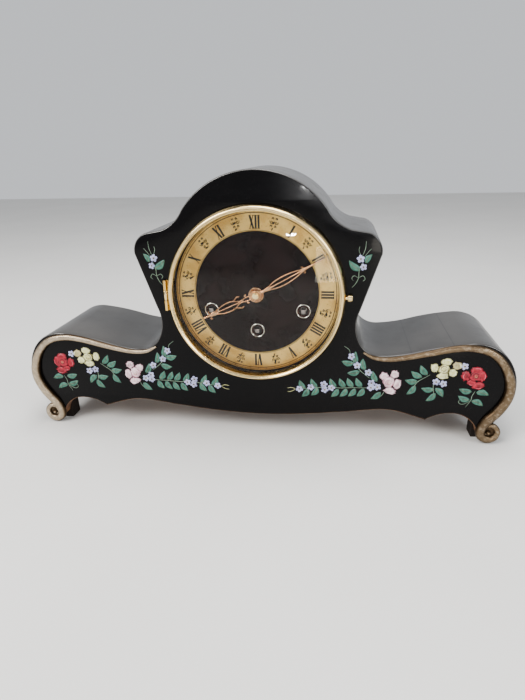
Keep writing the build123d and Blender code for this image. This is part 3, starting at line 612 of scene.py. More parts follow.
def make_mouldings():
    """The left scroll gets a stronger painted highlight on its crest than the right."""
    line = smooth_path(ARM_LINE + volute_stations(), 6)
    # the last number is the strength of each scroll's painted highlight along its crest
    for side, name, bare in ((1, "right", 0.10), (-1, "left", 0.70)):
        finish = gilt("worn_gilt_" + name, bare)
        shape = Shape()
        path = [(x, z, half, 0.95 * half + 0.35) for x, z, half in line]
        shape.run(path, arch=10, rise=0.9, sign=side)
        # the plate behind the volute's turns is all painted shade; the eye gets painted light on top and
        # shade at its rim
        back = [(side * x, z) for x, z in circle(VOLUTE, VOLUTE_BACK, 32)]
        shape.patch(back[::side], 1.2, rings=2, tone=lambda r, k: 0.0)
        eye = [(side * x, z) for x, z in circle(VOLUTE, VOLUTE_EYE, 20)]
        shape.patch(eye[::side], 4.6, rings=5, tone=lambda r, k: 1 - r)
        piece = shape.piece("%s_gilt_scroll" % name, finish, "case")
        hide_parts("%s_scroll_moulding" % name)
        print(name, "scroll is", round(piece.dimensions.x / MM), "mm long")


make_mouldings()


# %% [markdown]
# ## Bezel and knob
# The bezel is spun brass: a bright outer bead, a hollow, and thin steps going down to the glass. All of it
# is one profile turned about the dial's axis. Its hinge knuckle is a small barrel. The knob keeps its CAD
# shape, and its knurls are one ridge repeated round it by Geometry Nodes.

# %% Bezel, knob and a repeater
def repeat_round(name, item, count, radius, depth, centre, spin_axis, material, body):
    """Copies of a mesh round a circle, by a node group with its own named inputs."""
    group = bpy.data.node_groups.new(name + "_nodes", "GeometryNodeTree")
    face = group.interface
    for title, kind in (("Geometry", "Geometry"), ("Item", "Object"), ("Count", "Int"), ("Radius", "Float"),
                        ("Material", "Material")):
        face.new_socket(title, in_out="INPUT", socket_type="NodeSocket" + kind)
    face.new_socket("Geometry", in_out="OUTPUT", socket_type="NodeSocketGeometry")
    add = group.nodes.new
    inputs, outputs = add("NodeGroupInput"), add("NodeGroupOutput")
    ring, info = add("GeometryNodeMeshCircle"), add("GeometryNodeObjectInfo")
    place, spin = add("GeometryNodeInstanceOnPoints"), add("ShaderNodeCombineXYZ")
    index, turn, share = add("GeometryNodeInputIndex"), add("ShaderNodeMath"), add("ShaderNodeMath")
    share.operation, turn.operation = "DIVIDE", "MULTIPLY"
    share.inputs[0].default_value = tau
    realize, cover = add("GeometryNodeRealizeInstances"), add("GeometryNodeSetMaterial")
    link = group.links.new
    link(inputs.outputs["Count"], ring.inputs["Vertices"])
    link(inputs.outputs["Radius"], ring.inputs["Radius"])
    link(inputs.outputs["Item"], info.inputs["Object"])
    link(inputs.outputs["Count"], share.inputs[1])
    link(index.outputs[0], turn.inputs[0])
    link(share.outputs[0], turn.inputs[1])
    link(turn.outputs[0], spin.inputs["Z"])
    link(ring.outputs[0], place.inputs["Points"])
    link(info.outputs["Geometry"], place.inputs["Instance"])
    link(spin.outputs[0], place.inputs["Rotation"])
    link(place.outputs[0], realize.inputs[0])
    link(realize.outputs[0], cover.inputs["Geometry"])
    link(inputs.outputs["Material"], cover.inputs["Material"])
    link(cover.outputs[0], outputs.inputs[0])

    holder = bpy.data.objects.new(name + "_holder", bpy.data.meshes.new(name + "_holder"))
    bpy.context.scene.collection.objects.link(holder)
    modifier = holder.modifiers.new("repeat", "NODES")
    modifier.node_group = group
    values = {"Item": item, "Count": count, "Radius": radius * MM, "Material": material}
    for socket in face.items_tree:
        if socket.item_type == "SOCKET" and socket.in_out == "INPUT" and socket.name in values:
            modifier[socket.identifier] = values[socket.name]
    bpy.context.view_layer.update()
    shown = holder.evaluated_get(bpy.context.evaluated_depsgraph_get())
    mesh = bpy.data.meshes.new_from_object(shown)
    bpy.data.objects.remove(holder)
    bpy.data.objects.remove(item)
    # the circle lies in x-y: stand it up about the dial's or the knob's axis
    tilt = Matrix.Rotation(radians(90), 4, "X") if spin_axis == "Y" else Matrix.Rotation(radians(90), 4, "Y")
    mesh.transform(Matrix.Translation(at(centre[0], centre[1], depth)) @ tilt)
    piece = bpy.data.objects.new(name, mesh)
    bpy.context.scene.collection.objects.link(piece)
    bm = bmesh.new()
    bm.from_mesh(mesh)
    bmesh.ops.recalc_face_normals(bm, faces=bm.faces)
    bm.to_mesh(mesh)
    bm.free()
    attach(piece, body)
    return piece


def bevelled_bar(name, long, wide, tall):
    """Small bar along x with its upper edges eased, ready to be repeated. Sizes in mm."""
    bm = bmesh.new()
    bmesh.ops.create_cube(bm, size=1.0)
    bmesh.ops.scale(bm, vec=(long * MM, wide * MM, tall * MM), verts=bm.verts)
    ease = 0.18 * min(long, wide, tall) * MM
    bmesh.ops.bevel(bm, geom=bm.edges[:], offset=ease, segments=1, affect="EDGES")
    mesh = bpy.data.meshes.new(name)
    bm.to_mesh(mesh)
    bm.free()
    item = bpy.data.objects.new(name, mesh)
    bpy.context.scene.collection.objects.link(item)
    return item


# the bezel's section as radius and height, from its seat up over the bead and down the steps
BEZEL_PROFILE = [(81.6, 1.3), (85.0, 1.3), (85.0, 3.2), (84.8, 4.6), (84.3, 5.9), (83.6, 7.1), (82.9, 8.2),
                 (82.2, 8.9), (81.4, 9.0), (80.8, 8.6), (80.5, 8.0), (80.3, 7.9), (80.2, 7.5), (79.9, 7.4),
                 (79.8, 6.9), (79.6, 6.8), (79.6, 6.3), (81.6, 6.3)]
KNUCKLE_X, KNUCKLE_PROUD = -87.5, 2.2
KNUCKLE_ROWS = ((-4.85, 1.5), (-4.55, 1.8), (4.55, 1.8), (4.85, 1.5))    # height and radius
KNOB_X, KNURL_RADIUS, KNURL_PROUD, KNURLS = 88.2, 2.62, 3.2, 20


def make_bezel():
    """Spun ring, hinge knuckle and knurls, all on the bezel's body."""
    ring = turned("bezel", BEZEL_PROFILE, FINISH["bezel_brass"], "bezel", steps=192, crease=50)
    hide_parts("bezel_ring")
    knuckle = Shape()
    steps = 20
    for z, r in KNUCKLE_ROWS:
        for k in range(steps):
            angle = tau * k / steps
            place = (KNUCKLE_X * MM + r * MM * cos(angle),
                     FRONT - KNUCKLE_PROUD * MM + r * MM * sin(angle), DIAL_Z + z * MM)
            knuckle.vertices.append(Vector(place))
    for row in range(len(KNUCKLE_ROWS) - 1):
        for k in range(steps):
            a, b = row * steps + k, row * steps + (k + 1) % steps
            knuckle.faces.append((a, b, b + steps, a + steps))
    last = (len(KNUCKLE_ROWS) - 1) * steps
    knuckle.faces += [tuple(reversed(range(steps))), tuple(range(last, last + steps))]
    knuckle.tones = [0.5] * len(knuckle.vertices)
    knuckle.piece("bezel_knuckle", FINISH["bezel_brass"], "bezel")
    ridge = bevelled_bar("ridge", 0.5, 0.42, 3.0)
    knurls = repeat_round("knob_knurls", ridge, KNURLS, KNURL_RADIUS, KNURL_PROUD, (KNOB_X, 0.0), "X",
                          FINISH["bezel_brass"], "bezel")
    return ring


bezel = make_bezel()
print("bezel box", [round(v, 4) for v in bezel.dimensions])


# %% [markdown]
# ## The dial
# The chapter ring is engraved brass, its numerals filled with black wax. Numerals, tracks and scrolls are
# separate shallow plates standing a tenth of a millimetre proud, so they catch light at their edges like
# the real filled cuts. Roman figures are only three letters built from strokes, which keeps them exact.

# %% Numerals, tracks and scrolls
DIAL_PROUD = -(DIAL_FACE - FRONT) / MM


def stroke(u0, v0, u1, v1, wide):
    """Straight stroke of a letter as four corners."""
    length = hypot(u1 - u0, v1 - v0)
    a, b = -(v1 - v0) / length * wide / 2, (u1 - u0) / length * wide / 2
    return [(u0 + a, v0 + b), (u0 - a, v0 - b), (u1 - a, v1 - b), (u1 + a, v1 + b)]


def letter(kind, tall):
    """Strokes of one Roman letter and its width, with u across and v up from its foot."""
    thin, thick, serif = 0.75, 1.85, 0.60
    foot, top = serif / 2, tall - serif / 2
    if kind == "I":
        return [stroke(1.2, 0, 1.2, tall, thick), stroke(0, foot, 2.4, foot, serif),
                stroke(0, top, 2.4, top, serif)], 2.75
    if kind == "V":
        return [stroke(1.0, tall, 2.6, 0, thick), stroke(4.4, tall, 2.75, 0, thin),
                stroke(0.1, top, 2.0, top, serif), stroke(3.6, top, 5.2, top, serif)], 5.3
    return [stroke(0.9, tall, 4.2, 0, thick), stroke(4.2, tall, 0.9, 0, thin),
            stroke(0.1, top, 1.9, top, serif), stroke(0.1, foot, 1.8, foot, serif),
            stroke(3.4, top, 5.0, top, serif), stroke(3.3, foot, 5.1, foot, serif)], 5.2


def make_numerals():
    """The twelve hours, upright from the dial's centre, the long ones squeezed to fit."""
    shape = Shape()
    inner, tall, widest = 61.9, 12.2, 13.5
    for hour, text in enumerate("XII I II III IIII V VI VII VIII IX X XI".split()):
        letters = [letter(kind, tall) for kind in text]
        total = sum(width for strokes, width in letters)
        squeeze = min(1.0, widest / total)
        start = -total / 2
        turn = radians(-30 * hour)
        for strokes, width in letters:
            for corners in strokes:
                outline = []
                for u, v in corners:
                    u, v = (start + u) * squeeze, inner + v
                    outline.append((u * cos(turn) - v * sin(turn), u * sin(turn) + v * cos(turn)))
                shape.plate(outline, DIAL_PROUD + 0.10, 0.14)
            start += width
    shape.piece("numerals", INK, "case", smooth=False)


def curl(x, z, size, turn, hand, turns=1.25, tail=1.0):
    """Small spiral scroll with a tail, as run stations."""
    points = []
    for k in range(15):
        t = k / 14
        radius = size * (0.22 + 0.78 * t)
        angle = turn + hand * tau * turns * (t - 1)
        points.append((x + radius * cos(angle), z + radius * sin(angle), 0.16 + 0.24 * t, 0.14))
    dx, dz = points[-1][0] - points[-2][0], points[-1][1] - points[-2][1]
    span = hypot(dx, dz)
    for k in (1, 2, 3):
        points.append((points[14][0] + dx / span * size * tail * k / 3,
                       points[14][1] + dz / span * size * tail * k / 3, 0.4 * (1 - k / 3.3), 0.12))
    return points


def make_ornaments():
    """Engraved scrolls between the numerals: a pair of curls back to back with a drop between them."""
    shape = Shape()
    for hour in range(12):
        turn = radians(75 - 30 * hour)
        for side in (1, -1):
            for radius, away, size, hand in ((69.6, 2.3, 1.5, -side), (66.0, 1.7, 1.1, side),
                                             (73.0, 1.6, 1.0, side)):
                angle = turn + side * away / radius
                shape.run(curl(radius * cos(angle), radius * sin(angle), size, turn + side * pi / 2, hand),
                          base=DIAL_PROUD, arch=3)
        for radius, half in ((63.9, 0.5), (69.6, 0.6)):
            drop = petal(radius * cos(turn), radius * sin(turn), 3.2 * half, 2 * half, turn, 0.0, 0.0, 8)
            shape.patch(drop, 0.12, base=DIAL_PROUD, rings=1)
    shape.piece("dial_scrolls", INK, "case")


def ink():
    """Black wax, worn through to the brass here and there."""
    m = Maker("black_wax")
    worn = m.noise(500.0, 3.0).step(0.52, 0.72)
    m.set(Base_Color=m.mix(worn * 0.5, (0.012, 0.009, 0.008), (0.16, 0.09, 0.03)))
    m.set(Roughness=0.35 + worn * 0.2)
    return m.bump(worn, 0.00006, 0.4).material


RING_GRAIN, PLATE_GRAIN = 24000.0, 9000.0      # turning marks, radians per metre of radius


def turning_marks(m, frequency):
    """Fine rings round the dial's centre."""
    x, z = m.axis("X"), m.axis("Z") - DIAL_Z
    return ((x * x + z * z) ** 0.5).wave(frequency) * 0.5 + 0.5


def chapter_brass():
    """Brass with a spun grain round the dial, warmer where the lacquer has yellowed."""
    m = Maker("chapter_brass")
    grain = turning_marks(m, RING_GRAIN)
    cloud = m.noise(60.0, 4.0).step(0.38, 0.70)
    spots = m.noise(700.0, 3.0).step(0.60, 0.72)
    tint = m.mix(cloud, (0.70, 0.48, 0.19), (0.54, 0.33, 0.11))
    m.set(Base_Color=m.mix(spots * 0.5, tint, (0.25, 0.12, 0.04)), Metallic=0.85)
    m.set(Roughness=0.30 + cloud * 0.12 + grain * 0.06)
    return m.bump(grain * 0.3 + m.noise(900.0) * 0.5, 0.00005, 0.4).material


def dial_enamel():
    """Near-black maroon over a turned plate."""
    m = Maker("dial_enamel")
    cloud = m.noise(40.0, 4.0).step(0.38, 0.70)
    arc = turning_marks(m, PLATE_GRAIN)
    m.set(Base_Color=m.mix(cloud, (0.0075, 0.0022, 0.0024), (0.014, 0.0042, 0.0040)))
    m.set(Specular_IOR_Level=0.18)
    m.set(Roughness=0.24 + cloud * 0.06 + arc * 0.03)
    return m.bump(m.noise(60.0) * 0.5 + arc * 0.05, 0.00004, 0.3).material


WINDING = {"strike": (-45.2, -16.5), "time": (0.0, -36.9), "chime": (45.2, -16.5)}
EYELET_RIM = [(5.9, -7.9), (7.0, -7.9), (7.0, -7.5), (6.75, -7.2), (6.4, -7.1), (6.1, -7.25), (5.9, -7.6)]
EYELET_SLEEVE = [(4.3, -9.5), (5.1, -9.5), (5.95, -8.0), (5.95, -7.6), (4.3, -7.95)]


def make_eyelets():
    """Bright rolled rim, and a sleeve round each winding square, near black as painted shade in the hole."""
    # the sleeve's near-black colour is painted shade for the inside of the winding hole
    dark = metal("dark_sleeve", (0.055, 0.030, 0.026), (0.030, 0.016, 0.014), 0.35)
    for name, centre in WINDING.items():
        eyelet = turned("%s_eyelet" % name, EYELET_RIM, FINISH["nickel"], "case", centre, 48)
        sleeve = turned("%s_sleeve" % name, EYELET_SLEEVE, dark, "case", centre, 48)
        if name == "time":
            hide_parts("winding_eyelets")


INK = ink()
LINE_TOP, LINE_FOOT = DIAL_PROUD + 0.08, DIAL_PROUD - 0.05
MINUTE_RADIUS = 77.4
make_eyelets()
make_numerals()
make_ornaments()
for radius, half in ((76.4, 0.32), (78.4, 0.18), (60.7, 0.25)):
    section = [(radius - half, LINE_TOP), (radius + half, LINE_TOP),
               (radius + half, LINE_FOOT), (radius - half, LINE_FOOT)]
    turned("dial_line_%d" % radius, section, INK, "case", steps=160)
tick = bevelled_bar("tick", 1.6, 0.30, 0.16)
repeat_round("minute_marks", tick, 60, MINUTE_RADIUS, DIAL_PROUD + 0.03, (0, 0), "Y", INK, "case")
print("dial engraved at", round(DIAL_PROUD, 2), "mm")


# %% [markdown]
# ## Hands
# Pierced hands are fretted from sheet and look like thin ribbons curling into each other. Each ribbon is a
# run with its own path, laid out along the hand and then turned to the time it shows.

# %% Hands
def hand_point(angle, side, along):
    """From across and along a hand to x, z, with the angle clockwise from twelve."""
    turn = radians(-angle)
    return side * cos(turn) - along * sin(turn), side * sin(turn) + along * cos(turn)


def make_hand(name, angle, ribbons, hub, bore, proud, thick, body):
    """Ribbons mirrored about the hand's line, over a dished hub."""
    shape = Shape()
    for ribbon in ribbons:
        for side in ((1, -1) if ribbon[0][0] else (1,)):    # one on the line itself is not mirrored
            stations = smooth_path([(side * u, v, half) for u, v, half in ribbon], 6)
            path = [(*hand_point(angle, u, v), half, thick) for u, v, half in stations]
            shape.run(path, base=proud - thick, arch=4, rise=0.5)
    piece = shape.piece(name, FINISH["copper"], body)
    dish = rounded([(bore, proud - thick), (hub, proud - thick), (hub, proud), (hub - 0.9, proud + 0.15),
                    (hub - 1.5, proud - 0.3), (bore + 0.8, proud - 0.3), (bore, proud)], 0.2, 2)
    ring = turned(name + "_hub", dish, FINISH["copper"], body, steps=64)
    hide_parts(name)


# each station is across the hand, along it, and the ribbon's half width
hour_ribbons = [
    [(1.9, 6.5, 0.6), (1.6, 11.0, 0.5), (0.9, 16.0, 0.5), (1.6, 20.0, 0.5), (3.6, 24.0, 0.5),
     (4.4, 30.0, 0.5), (3.6, 37.0, 0.5), (1.8, 43.0, 0.6), (0.8, 47.0, 0.6)],
    [(3.2, 24.0, 0.5), (4.7, 20.8, 0.5), (6.0, 18.2, 0.6), (5.2, 16.2, 0.7)],
    [(1.4, 9.0, 0.5), (3.6, 11.0, 0.7), (4.3, 8.8, 0.6)],
    [(0.0, 14.0, 0.4), (0.0, 30.0, 0.5), (0.0, 42.0, 0.5), (0.0, 45.0, 1.7), (0.0, 49.0, 2.1),
     (0.0, 53.0, 1.1), (0.0, 57.0, 0.9), (0.0, 60.8, 0.3)],
    [(1.2, 50.0, 0.5), (3.2, 52.0, 0.5), (4.2, 50.2, 0.5)],
]
minute_ribbons = [
    [(0.0, 4.6, 1.2), (0.0, 9.0, 1.3), (0.0, 13.0, 2.0), (0.0, 16.0, 2.3), (0.0, 19.0, 0.6),
     (0.0, 40.0, 0.5), (0.0, 50.0, 0.7), (0.0, 52.5, 1.4), (0.0, 57.0, 0.9), (0.0, 66.0, 0.7),
     (0.0, 73.8, 0.28)],
    [(1.5, 15.0, 0.6), (2.9, 20.0, 0.5), (3.9, 28.0, 0.5), (3.5, 38.0, 0.5), (1.9, 47.0, 0.5),
     (0.6, 52.0, 0.6)],
    [(0.9, 51.0, 0.4), (2.7, 52.6, 0.45), (3.4, 50.8, 0.4)],
]
HOUR_ANGLE, MINUTE_ANGLE = 245.0, 61.0     # degrees clockwise from twelve: about ten past eight
make_hand("hour_hand", HOUR_ANGLE, hour_ribbons, 7.3, 3.35, -3.7, 0.8, "hour")
make_hand("minute_hand", MINUTE_ANGLE, minute_ribbons, 5.2, 1.2, -1.2, 0.8, "minute")
print("hands at", HOUR_ANGLE, "and", MINUTE_ANGLE, "degrees")


# %% [markdown]
# ## Oil-painted flowers
# The flowers are free brush work: thick petals, leaves pressed down in one touch, and thin stems. Each
# touch is a low domed patch with a wavy outline, so the paint has a body that catches the light. Every
# touch is listed once for the right arm and repeated at the left with its own wobble.

# %% Paint
def paint(name, colour, light, dark, edge=0.85, rough=0.42):
    """Oil paint: streaks of light and dark along the brush, and a dark rim round each touch."""
    m = Maker(name)
    tone = m.node("ShaderNodeAttribute", {"attribute_name": "tone"}, out="Fac")
    streak = m.noise(520.0, 3.0, 0.6, stretch=(1.0, 1.0, 0.4)).step(0.36, 0.66)
    cloud = m.noise(160.0, 2.0).step(0.40, 0.66)
    body = m.mix(cloud * 0.7, colour, dark)
    crown = m.mix(streak * 0.45 + tone.step(0.30, 0.70) * 0.35, body, light)
    m.set(Base_Color=m.mix(tone.step(0.74, 1.0) * edge, crown, dark))
    m.set(Roughness=rough + streak * 0.15, Coat_Weight=0.15)
    return m.bump(streak, 0.00025, 0.6).material


PAINT = {
    "red": paint("red_paint", (0.27, 0.004, 0.014), (0.46, 0.030, 0.055), (0.060, 0.001, 0.004)),
    "cream": paint("cream_paint", (0.58, 0.56, 0.24), (0.76, 0.77, 0.50), (0.16, 0.15, 0.06)),
    "shade": paint("shade_paint", (0.34, 0.30, 0.15), (0.56, 0.50, 0.28), (0.16, 0.12, 0.06)),
    "pink": paint("pink_paint", (0.62, 0.40, 0.45), (0.82, 0.72, 0.73), (0.20, 0.08, 0.12)),
    "leaf": paint("leaf_paint", (0.026, 0.115, 0.082), (0.085, 0.22, 0.165), (0.012, 0.055, 0.038), 0.3),
    "lilac": paint("lilac_paint", (0.32, 0.34, 0.54), (0.56, 0.57, 0.72), (0.12, 0.12, 0.26)),
    "stem": paint("stem_paint", (0.13, 0.20, 0.14), (0.28, 0.35, 0.27), (0.07, 0.12, 0.08)),
    "heart_red": paint("dark_red_paint", (0.045, 0.001, 0.003), (0.10, 0.004, 0.008), (0.02, 0.001, 0.002)),
    "heart_cream": paint("olive_paint", (0.13, 0.10, 0.035), (0.28, 0.22, 0.09), (0.06, 0.05, 0.02)),
    "heart_pink": paint("deep_pink_paint", (0.48, 0.15, 0.22), (0.62, 0.28, 0.34), (0.26, 0.08, 0.12)),
    "edge_red": paint("rose_light_paint", (0.55, 0.07, 0.11), (0.74, 0.22, 0.26), (0.34, 0.02, 0.04)),
    "edge_cream": paint("cream_light_paint", (0.80, 0.80, 0.60), (0.90, 0.90, 0.76), (0.60, 0.58, 0.34)),
    "edge_pink": paint("white_paint", (0.84, 0.80, 0.82), (0.92, 0.90, 0.90), (0.66, 0.50, 0.54)),
    "eye": paint("eye_paint", (0.05, 0.035, 0.04), (0.40, 0.30, 0.14), (0.02, 0.015, 0.02)),
}


def leaf(x, z, turn, long=12.0, wide=5.4, seed=0.0, steps=9):
    """Pointed leaf outline with a slight bend, its tip toward turn."""
    upper, lower = [], []
    for k in range(steps + 1):
        t = k / steps
        half = wide / 2 * sin(pi * t ** 0.8) ** 0.85 * (1 + 0.12 * wobble(x + 9 * t, z, seed))
        bend = 0.10 * long * sin(pi * t)
        u = long * (t - 0.5)
        upper.append((u, bend + half))
        lower.append((u, bend - half))
    return [(x + u * cos(turn) - v * sin(turn), z + u * sin(turn) + v * cos(turn))
            for u, v in lower + upper[::-1][1:-1]]


class Garland:
    """All touches of one side, sorted by colour; side -1 mirrors them."""

    def __init__(self, side):
        self.side, self.shapes = side, {}
        self.seed = 1.0 if side > 0 else 5.0

    def shape(self, colour):
        """The shape that gathers one colour."""
        return self.shapes.setdefault(colour, Shape())

    def put(self, colour, outline, height=0.45, base=0.05):
        """One domed touch of paint."""
        points = [(self.side * x, z) for x, z in outline]
        area = sum(p[0] * q[1] - q[0] * p[1] for p, q in zip(points, points[1:] + points[:1]))
        self.shape(colour).patch(points if area > 0 else points[::-1], height, base, rings=3)

    def stem(self, points, half=0.34, colour="stem"):
        path = [(x, z, half * (0.55 + 0.45 * sin(pi * i / (len(points) - 1))), 0.22)
                for i, (x, z) in enumerate(points)]
        self.shape(colour).run(smooth_path(path, 6), base=0.0, arch=3, sign=self.side)

    def leaf(self, x, z, degrees_from_x, long=12.0, wide=5.4):
        turn = radians(degrees_from_x)
        self.put("leaf", leaf(x, z, turn, long, wide, self.seed), 0.35)
        a, b = 0.44 * long, 0.09 * long
        path = [(x + u * cos(turn) - v * sin(turn), z + u * sin(turn) + v * cos(turn), 0.20, 0.14)
                for u, v in ((-a, 0.0), (0, b), (a * 0.9, 0.02 * long))]
        self.shape("eye").run(smooth_path(path, 4), base=0.36, arch=2, sign=self.side)

    def rose(self, colour, centre, petals, shade=None):
        """Overlapping petals, dark strokes round the heart, pale outer strokes and stamens."""
        for i, (x, z, wide, tall, turn) in enumerate(petals):
            outline = petal(x, z, wide, tall, radians(turn), 0.16, self.seed + i)
            self.put(colour if i or not shade else shade, outline, 0.9, 0.1 + 0.16 * i)
        top = 0.1 + 0.16 * (len(petals) - 1) + 0.8
        for turn, reach, sweep in ((0.6, 3.0, 3.4), (3.4, 1.8, 3.0), (4.4, 4.3, 2.2), (1.9, 4.6, 1.5)):
            path = []
            for k in range(9):
                angle = turn + sweep * k / 8
                path.append((centre[0] + reach * cos(angle), centre[1] + reach * sin(angle),
                             0.20 + 0.28 * sin(pi * k / 8), 0.25))
            self.shape("heart_" + colour).run(path, base=top - 0.022 * reach ** 2, arch=3, sign=self.side)
        pale = 0.1 + 0.16 * len(petals) + 0.45
        for x, z, wide, tall, turn in petals[:-1]:
            away = atan2(z - centre[1], x - centre[0])
            path = []
            for k in range(7):
                angle = away + 0.9 * (k / 6 - 0.5) * 2
                path.append((x + 0.31 * wide * cos(angle), z + 0.31 * tall * sin(angle),
                             0.12 + 0.34 * sin(pi * k / 6), 0.2))
            self.shape("edge_" + colour).run(path, base=pale, arch=3, sign=self.side)
        for k in range(5):
            a = tau * k / 5 + self.seed
            dot = petal(centre[0] + 1.1 * cos(a), centre[1] + 1.0 * sin(a), 0.8, 0.8, 0, 0.1)
            self.put("shade", dot, 0.3, top)

    def lilac(self, x, z, size=8.0):
        """Five small petals round a dark eye."""
        for k in range(5):
            a = tau * k / 5 + 0.4 + x
            outline = petal(x + 0.27 * size * cos(a), z + 0.27 * size * sin(a), 0.43 * size, 0.37 * size,
                            a, 0.1, self.seed + k, 12)
            self.put("lilac", outline, 0.45, 0.1 + 0.03 * k)
        self.put("eye", petal(x, z, 0.24 * size, 0.22 * size, 0, 0.15, self.seed, 10), 0.3, 0.42)


def paint_arm(side):
    """Everything painted on one half of the front, in mm from the dial's centre."""
    g = Garland(side)
    # stems first, so that leaves and petals lie over them
    g.stem([(210, -90.6), (207.6, -96), (207, -100.5), (203, -108)])
    g.stem([(207, -101), (200, -105), (196, -103), (197, -100)], 0.3)
    g.stem([(167, -75), (160.5, -79.5), (156, -83), (152, -90), (150, -96)])
    g.stem([(110.4, -80.8), (105, -76.5), (100.4, -72.3), (95.5, -66), (92, -58)])
    g.stem([(91, -56), (90, -52), (87, -49.5), (85, -48)], 0.28)
    g.stem([(120, -90), (108, -91.4), (95, -91.8), (84, -92.6), (72, -92.5), (60, -93.2),
            (46, -95.0), (38, -95.6)])
    g.stem([(38, -95.4), (34, -94.2), (30, -95.0)], 0.26, "cream")
    g.stem([(38, -96.0), (34, -98.4), (30, -99.0)], 0.26, "cream")
    g.stem([(172, -80), (171, -88), (173, -98)])
    g.stem([(126, -93), (123, -99), (118, -103)], 0.3)
    for x, z, turn in ((201, -90, 168), (217.0, -93, -12), (200.6, -98.4, 158), (213.4, -103.4, -25),
                       (166, -90, 175), (177, -93.5, -50), (169.5, -98.7, -135), (161, -70.4, 125),
                       (154.6, -75, 150), (150, -82, 175), (150.5, -92, -130), (117.3, -99.4, -140),
                       (115.3, -78.8, 112), (104.4, -66.6, 100), (94.7, -75.2, 190), (89, -64.9, 170),
                       (96.7, -59.4, 95)):
        g.leaf(x, z, turn, 12.5, 6.2)
    # pairs of leaves along the long spray, above and below its stem
    for upper, lower, high, low in ((100.6, 102.3, -86, -96.8), (92.2, 93.9, -86.4, -97.2),
                                    (84.5, 85.6, -87.0, -97.8), (75.3, 77.2, -87.6, -98.4),
                                    (56.5, 57.1, -88.6, -97.8), (45, 47.8, -90.6, -99.6)):
        g.leaf(upper, high, 122, 11.5, 6.0)
        g.leaf(lower, low, -128, 11.5, 6.0)
    for x, z in ((197.6, -65.2), (173.2, -82.2), (180, -84), (112.5, -86), (112.2, -91), (118.5, -90),
                 (109, -75), (98, -67.7), (92.4, -58.7), (66.3, -89.3), (73.8, -92.8), (67.3, -95.2),
                 (53.5, -93), (42, -95.4)):
        g.lilac(x, z)
    # each petal is its centre, width, height and turn, and the last one is the heart
    g.rose("red", (208.6, -74.5), [(200.0, -75.0, 9, 11, 15), (205.5, -81.5, 8, 7, 0),
                                   (211.5, -84.5, 12, 8, 10), (214.5, -74.5, 8, 12, 0),
                                   (209.0, -68.8, 12, 8, -8), (208.4, -74.8, 12, 11, 0)])
    g.rose("cream", (179.0, -68.3), [(191, -64.6, 9, 8.5, -20), (181, -61.2, 11, 7.5, 5),
                                     (170.4, -67.6, 7.5, 9.5, 10), (187.3, -71.8, 8.5, 8.5, 25),
                                     (178.3, -75.4, 11.5, 7, 0), (179.2, -68.4, 11, 9.5, 0)], "shade")
    g.rose("pink", (128.8, -84.5), [(124.5, -78.5, 8.5, 9.5, 25), (134.2, -75.4, 8.5, 8.5, -15),
                                    (137, -86, 7.5, 11, -10), (130.5, -93.4, 12, 7.5, -12),
                                    (129.0, -83.8, 11.5, 12, 10)])
    # the sprig on the ear
    g.stem([(98, 32), (95.8, 25), (95.5, 18.5), (93, 13), (90, 9.5)])
    g.stem([(95.5, 18.5), (99.5, 20.5), (101.5, 17.5), (99.5, 15.5)], 0.3)
    g.stem([(95.5, 18.5), (91.5, 20.5), (89.5, 18.0), (91, 16)], 0.3)
    g.stem([(98, 38), (100.5, 45), (101, 51.5)], 0.3)
    g.stem([(97, 38), (95, 43.5), (95.5, 47)], 0.26)
    g.stem([(100, 38), (104, 43), (106, 45)], 0.26)
    g.leaf(104, 36, 55, 10, 5)
    g.leaf(91.7, 30, 140, 14, 6.5)
    g.lilac(96.8, 35.8)
    g.lilac(99.5, 28.5, 7.0)
    hand = "right" if side > 0 else "left"
    for colour, shape in g.shapes.items():
        shape.piece("%s_touches_%s" % (colour, hand), PAINT[colour], "case")
    print(hand, "half painted in", len(g.shapes), "colours")


paint_arm(1)
paint_arm(-1)


# %% [markdown]
# ## Finishes for the pieces that keep their shape
# Most of the movement keeps its CAD shape and only needs a finish. A table pairs each finish with its
# parts, and the glass gets a thin clear shader that stays bright where lamps reflect in it.

# %% Glass and finishes
def clear_glass():
    """Clear where seen through, glossy where a lamp reflects, with faint smears."""
    m = Maker("clear_glass")
    smear = m.noise(30.0, 4.0).step(0.45, 0.75)
    through = m.node("ShaderNodeBsdfTransparent", {}, Color=(0.97, 0.98, 0.97, 1.0), out="BSDF")
    shine = m.node("ShaderNodeBsdfGlossy", {}, Color=(1.0, 1.0, 1.0, 1.0), Roughness=0.02, out="BSDF")
    fresnel = m.node("ShaderNodeFresnel", {}, IOR=1.35, out="Fac")
    mix = m.tree.nodes.new("ShaderNodeMixShader")
    m.tree.links.new((fresnel * 0.45 + smear * 0.006).socket, mix.inputs[0])
    m.tree.links.new(through.socket, mix.inputs[1])
    m.tree.links.new(shine.socket, mix.inputs[2])
    output = next(node for node in m.tree.nodes if node.type == "OUTPUT_MATERIAL")
    m.tree.links.new(mix.outputs[0], output.inputs["Surface"])
    return m.material


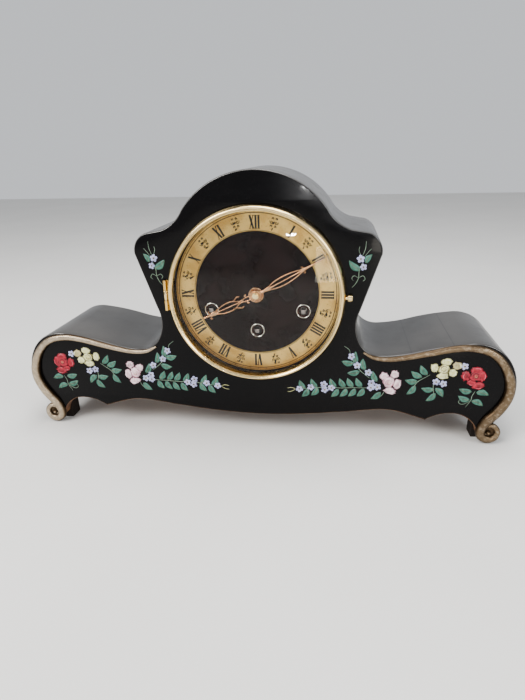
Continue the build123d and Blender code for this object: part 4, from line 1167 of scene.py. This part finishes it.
FINISH["glass"] = clear_glass()
FINISH["chapter"] = chapter_brass()
FINISH["dial"] = dial_enamel()
BY_FINISH = {
    "wrap_lacquer": "hood_wrap left_arm_wrap right_arm_wrap",
    "plain_board": "back_panel base_board back_door",
    "foot_board_painted_shade": "foot_blocks",
    "steel": "bezel_hinge_pin plate_pillars movement_straps movement_screws chime_rods winding_clicks "
             "hammer_arbor cannon_pinion verge pendulum_rod strike_fly chime_fly",
    "brass": "dial_pan front_plate back_plate suspension_cock door_hinges glass_retainer turn_button "
             "centre_arbor hour_wheel minute_wheel time_barrel intermediate_wheel third_wheel "
             "escape_wheel pendulum_bob rating_nut strike_barrel strike_wheel chime_barrel chime_wheel "
             "chime_drum hammer_1 hammer_2 hammer_3 hammer_4",
    "bezel_brass": "bezel_knob hand_nut",
    "iron": "rod_block",
    "dark_steel": "time_winding_arbor strike_winding_arbor chime_winding_arbor",
    "glass": "dial_glass",
    "chapter": "chapter_ring",
    "dial": "dial_plate",
}
for finish, names in BY_FINISH.items():
    for name in names.split():
        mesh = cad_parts[name].data
        mesh.materials.clear()
        mesh.materials.append(FINISH[finish])
print(sum(len(names.split()) for names in BY_FINISH.values()), "parts finished in place")


# %% [markdown]
# ## Table and light
# The clock stands on a plain pale table. One broad lamp above and to the left gives the lacquer its soft
# sheen, a second fills from the right, and a third lights the top. Two small ones are there to be seen
# reflected, as a glint and a pane in the domed glass. A pale sky keeps the metal from going black.

# %% Stage
def make_floor():
    mesh = bpy.data.meshes.new("floor")
    mesh.from_pydata([(-3, -3, 0), (3, -3, 0), (3, 3, 0), (-3, 3, 0)], [], [(0, 1, 2, 3)])
    floor = bpy.data.objects.new("floor", mesh)
    bpy.context.scene.collection.objects.link(floor)
    m = Maker("floor")
    m.set(Base_Color=m.mix(m.noise(4.0), (0.62, 0.61, 0.59), (0.70, 0.69, 0.67)), Roughness=0.7)
    mesh.materials.append(m.material)


def lamp(name, place, aim, size, power, colour=(1, 1, 1)):
    """Rectangular lamp at a place, turned to its aim; metres and watts."""
    data = bpy.data.lights.new(name, "AREA")
    data.shape, data.size, data.size_y = "RECTANGLE", size[0], size[1]
    data.energy, data.color = power, colour
    light = bpy.data.objects.new(name, data)
    bpy.context.scene.collection.objects.link(light)
    light.location = place
    light.rotation_euler = (Vector(aim) - Vector(place)).to_track_quat("-Z", "Y").to_euler()


make_floor()
lamp("window", (-0.9, -0.9, 1.2), (0, 0, 0.12), (0.9, 0.9), 26, (1.0, 0.98, 0.95))
lamp("fill", (1.1, -0.8, 0.8), (0, 0, 0.12), (0.6, 0.6), 8, (0.96, 0.98, 1.0))
lamp("top", (0.1, 0.2, 1.5), (0, 0, 0.1), (0.8, 0.8), 14)
lamp("glint", (0.117, -0.937, 0.338), (0.035, 0, 0.204), (0.07, 0.012), 0.9)
lamp("pane", (0.38, -1.0, 0.13), (0.06, 0, 0.16), (0.16, 0.26), 0.9, (1.0, 0.95, 0.85))
world = bpy.data.worlds.new("room")
world.use_nodes = True
world.node_tree.nodes["Background"].inputs["Color"].default_value = (0.80, 0.82, 0.85, 1.0)
world.node_tree.nodes["Background"].inputs["Strength"].default_value = 0.72
bpy.context.scene.world = world
bpy.context.scene.view_settings.look = "AgX - Medium High Contrast"
print("floor, lamps and room ready")
